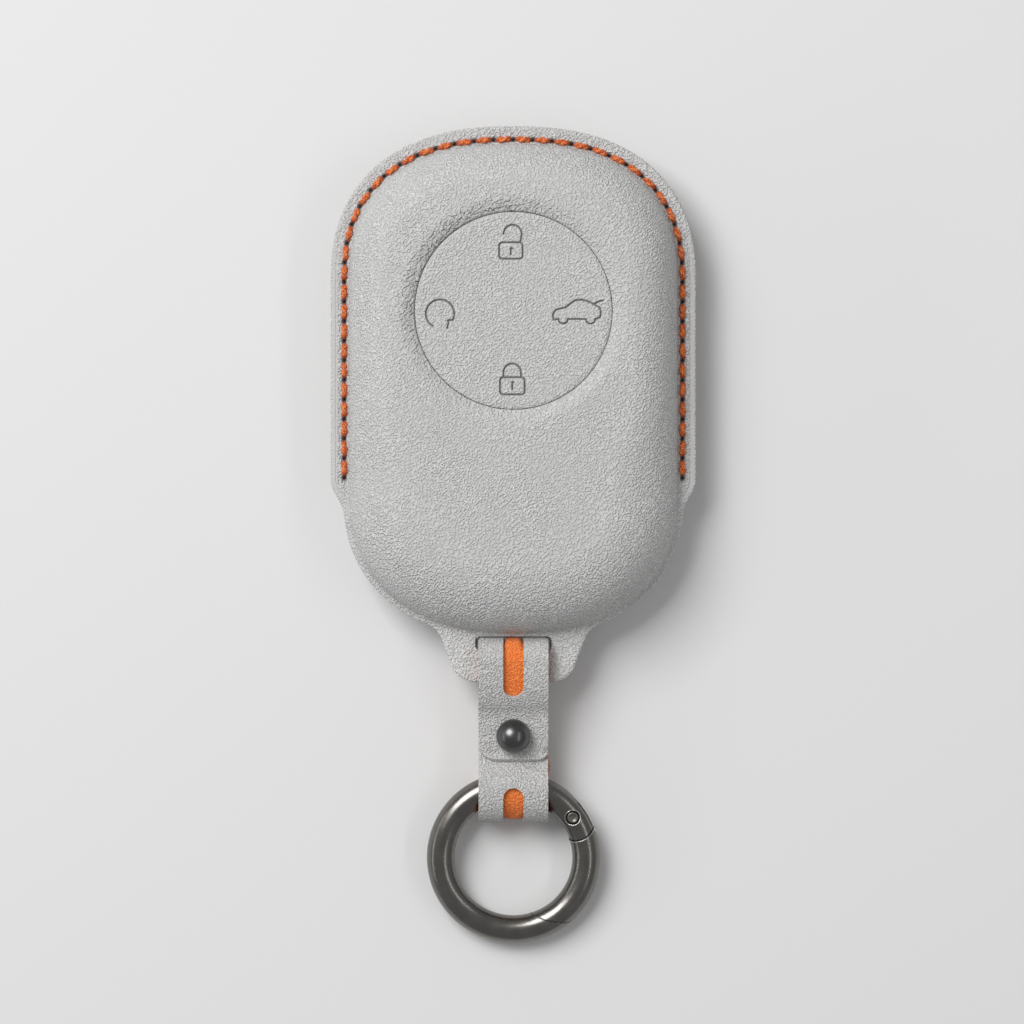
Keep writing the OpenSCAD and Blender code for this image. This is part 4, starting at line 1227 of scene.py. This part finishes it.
# %% [markdown]
# The ring and the stud keep the shapes of the imported model, which are round to a fraction of a
# millimetre. What they lack is the small work of the maker: the rivet's tail is spread by a punch
# into a raised lip round a dimple, the edges of its seat and of the joints are rounded into thin lips,
# and a rib closes the clevis on its outer side. Some lips and the rib are in a paler metal, which is a
# painted highlight, and black beads are painted shade in the rivet's moat, in the clevis joint and
# beside the rib. All of it is placed in the ring's own plane, whose middle and axis come from the
# mount that the ring makes.

# %% Rivet, lips and rib of the ring, with painted highlight and painted shade
RING_R, TUBE_R = 10.5, 2.0
RIVET_TURN = math.radians(35.7)
RIVET_R, RIVET_HEAD_R, RIVET_SEAT = 0.75, 0.80, 1.64
KNUCKLE_R, GATE_REACH, GATE_GAP = 3.4, 15.4, 0.15
SEAT_R, MOAT_R = 1.10, 0.94
LIP_R, LINE_R = 0.075, 0.10
RIB_TURNS, RIB_LEAD, RIB_FADE = (17.6, 52), 0.02, 0.35
RIVET_SIDES, SEAT_STEPS, JOINT_STEPS, RIB_STEPS = 48, 64, 72, 60
BEAD_SIDES, RIB_SIDES = 10, 16
eye = next(mount for mount in frame["record"]["mounts"] if mount["name"] == "ring_eye")
EYE = np.array(eye["pos_m"]) / MM
TILT_COS, TILT_SIN = eye["axis"][2], -eye["axis"][1]
RIVET_AT = RING_R * np.array([math.cos(RIVET_TURN), math.sin(RIVET_TURN)])


def ring_to_world(points):
    """From the ring's plane to the world: turned by its tilt about x, then moved to its middle."""
    x, y, z = points[..., 0], points[..., 1], points[..., 2]
    return EYE + joined(x, y * TILT_COS - z * TILT_SIN, y * TILT_SIN + z * TILT_COS)


def bead(line, wide, high, sides=BEAD_SIDES, closed=True):
    """A bead carried along a line: line + wide cos(t) + high sin(t), with vectors at each point."""
    turn = circle(sides)[:, None]
    points = line[:, None] + wide[:, None] * np.cos(turn) + high[:, None] * np.sin(turn)
    return ring_to_world(points), [grid_quads(len(line), sides, closed, True)]


def peened_rivet():
    """A shaft with a dimpled head at each end: a profile turned about the rivet's axis."""
    head = np.array([(0, 1.76), (0.2, 1.76), (0.36, 1.78), (0.44, 1.82), (0.52, 1.88), (0.60, 1.92),
                     (0.68, 1.92), (0.76, 1.87), (RIVET_HEAD_R, 1.78), (RIVET_HEAD_R, RIVET_SEAT + 0.01),
                     (RIVET_R - 0.01, RIVET_SEAT + 0.01)])
    radius, height = np.concatenate([head, head[::-1] * [1, -1]]).T[..., None]
    turn = circle(RIVET_SIDES)
    points = joined(RIVET_AT[0] + radius * np.cos(turn), RIVET_AT[1] + radius * np.sin(turn), height)
    return ring_to_world(points), [grid_quads(*points.shape[:2], wrap_columns=True)]


def seat_lips(seat_r, thick, height=None):
    """A bead round the rivet on each face, at a height or on the tube: sqrt(r^2 - (|p| - R)^2)."""
    turn = circle(SEAT_STEPS)
    away = joined(np.cos(turn), np.sin(turn), 0)
    at = RIVET_AT + seat_r * away[:, :2]
    up = TUBE_R - sagged(TUBE_R, norm(at) - RING_R) if height is None else height
    halves = [bead(with_height(at, side * (up - thick / 3)), away * thick, away * 0 + [0, 0, side * thick])
              for side in (1, -1)]
    (front, quads), (back, _) = halves
    return np.concatenate([front, back]), [*quads, quads[0] + front[..., 0].size]


def joint_lip(reach, side, thick):
    """A bead round the tube where a circle about the rivet cuts it: cos(t) = (p^2 + R^2 - k^2) / 2pR."""
    turn = circle(JOINT_STEPS)
    out = RING_R + (TUBE_R - thick / 3) * np.cos(turn)
    at = RIVET_TURN - np.arccos((out ** 2 + RING_R ** 2 - reach ** 2) / (2 * out * RING_R))
    line = joined(out * np.cos(at), out * np.sin(at), (TUBE_R - thick / 3) * np.sin(turn))
    away = joined(np.cos(turn) * np.cos(at), np.cos(turn) * np.sin(at), np.sin(turn))
    return bead(line, away * thick, joined(np.sin(at), -np.cos(at), 0) * side * thick)


def clevis_rib(inset, wide, high):
    """A bead along the outside of the clevis, which fades out past the rivet."""
    share = np.linspace(0, 1, RIB_STEPS)
    at = np.radians(between(*RIB_TURNS, share))
    full = np.sqrt(np.clip(share / RIB_LEAD, 0, 1) * np.clip((1 - share) / RIB_FADE, 0, 1))[:, None]
    away = joined(np.cos(at), np.sin(at), 0)
    line = away * (RING_R + TUBE_R - inset)
    return bead(line, away * wide * full, np.array([0, 0, high]) * full, RIB_SIDES, False)


for name, (points, faces), material, body, replaced in (
        ("peened_rivet", peened_rivet(), STEEL, "ring", ("gate_rivet",)),
        # The paler metal on the seat lip, the gate's heel lip and the clevis rib is a painted highlight.
        ("seat_lip", seat_lips(SEAT_R, LIP_R), PAINTED_HIGHLIGHT_METAL, "ring", ()),
        # The black beads in the rivet's moat, the clevis joint and beside the rib are painted shade.
        ("seat_moat_painted_shade", seat_lips(MOAT_R, LINE_R, RIVET_SEAT + LINE_R), PAINTED_SHADE_BLACK, "ring", ()),
        ("clevis_gap_painted_shade", joint_lip(KNUCKLE_R + LIP_R / 3, 1, LINE_R), PAINTED_SHADE_BLACK, "ring", ()),
        ("gate_heel_lip", joint_lip(KNUCKLE_R + GATE_GAP + LIP_R, -1, LIP_R), PAINTED_HIGHLIGHT_METAL, "gate", ()),
        ("gate_nose_lip", joint_lip(GATE_REACH, 1, GATE_GAP / 3), GUNMETAL, "gate", ()),
        ("ring_end_lip", joint_lip(GATE_REACH + GATE_GAP, -1, GATE_GAP / 3), GUNMETAL, "ring", ()),
        ("clevis_rib", clevis_rib(inset=0.085, wide=0.15, high=0.50), PAINTED_HIGHLIGHT_METAL, "ring", ()),
        ("clevis_line_painted_shade", clevis_rib(inset=0.33, wide=0.20, high=0.98), PAINTED_SHADE_BLACK, "ring", ())):
    add_piece(name, points, faces, material, body, "gunmetal", replaced, 40 if replaced else 180)

# %% [markdown]
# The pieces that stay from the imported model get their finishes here: the metal, and the layers
# that are in the dark inside the cover.

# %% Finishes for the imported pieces
PACKED_FINISHES = {
    "front_core": STIFFENER, "back_core": STIFFENER, "disc_backing": PANEL_LINING,
    "stud_head": STUD_METAL, "stud_screw": STEEL, "ring_body": GUNMETAL, "ring_gate": GUNMETAL,
    "spring_plunger": STEEL, "gate_spring": STEEL}
for name, material in PACKED_FINISHES.items():
    mesh = frame["nodes"][name].data
    mesh.materials.clear()
    mesh.materials.append(material)
print("finished in place:", sorted(PACKED_FINISHES))

# %% [markdown]
# The cover lies on a plain pale table. One large soft lamp stands at the upper left. Two long strips
# lie level to the left and the right, because polished metal shows a lamp as a line, and a lying
# strip draws a bright line along the ring. The room gives an even, weaker light. The levels are such
# that a colour renders about as it is written.

# %% Table and light
TABLE_REACH, TABLE_GREY = 2.0, 0.74
ROOM_LIGHT = 0.30


def table(material):
    """A pale table under the cover."""
    mesh = bpy.data.meshes.new("table")
    corners = [(x * TABLE_REACH, y * TABLE_REACH, 0) for x, y in ((-1, -1), (1, -1), (1, 1), (-1, 1))]
    mesh.from_pydata(corners, [], [(0, 1, 2, 3)])
    mesh.materials.append(material)
    top = bpy.data.objects.new("table", mesh)
    bpy.context.scene.collection.objects.link(top)


def lamp(name, at, size, power, aim=(0, -10, 0)):
    """A rectangular lamp that faces a point; sizes and places are in millimetres."""
    light = bpy.data.lights.new(name, "AREA")
    light.shape = "RECTANGLE"
    light.size, light.size_y = size[0] * MM, size[1] * MM
    light.energy = power
    holder = bpy.data.objects.new(name, light)
    holder.location = Vector(at) * MM
    holder.rotation_euler = (Vector(aim) - Vector(at)).to_track_quat("-Z", "Y").to_euler()
    bpy.context.scene.collection.objects.link(holder)


table(Finish("table_top", Base_Color=rgba(*[TABLE_GREY] * 3), Roughness=0.9, Specular_IOR_Level=0.2).material)
lamp("key", at=(-435, 420, 750), size=(570, 570), power=8.35)
lamp("strip", at=(-430, -60, 150), size=(420, 50), power=0.17)
lamp("side", at=(270, -40, 330), size=(420, 30), power=0.18)
world = bpy.data.worlds.new("room")
world.use_nodes = True
background = world.node_tree.nodes["Background"]
background.inputs["Color"].default_value = rgba(1, 1, 1)
background.inputs["Strength"].default_value = ROOM_LIGHT
bpy.context.scene.world = world
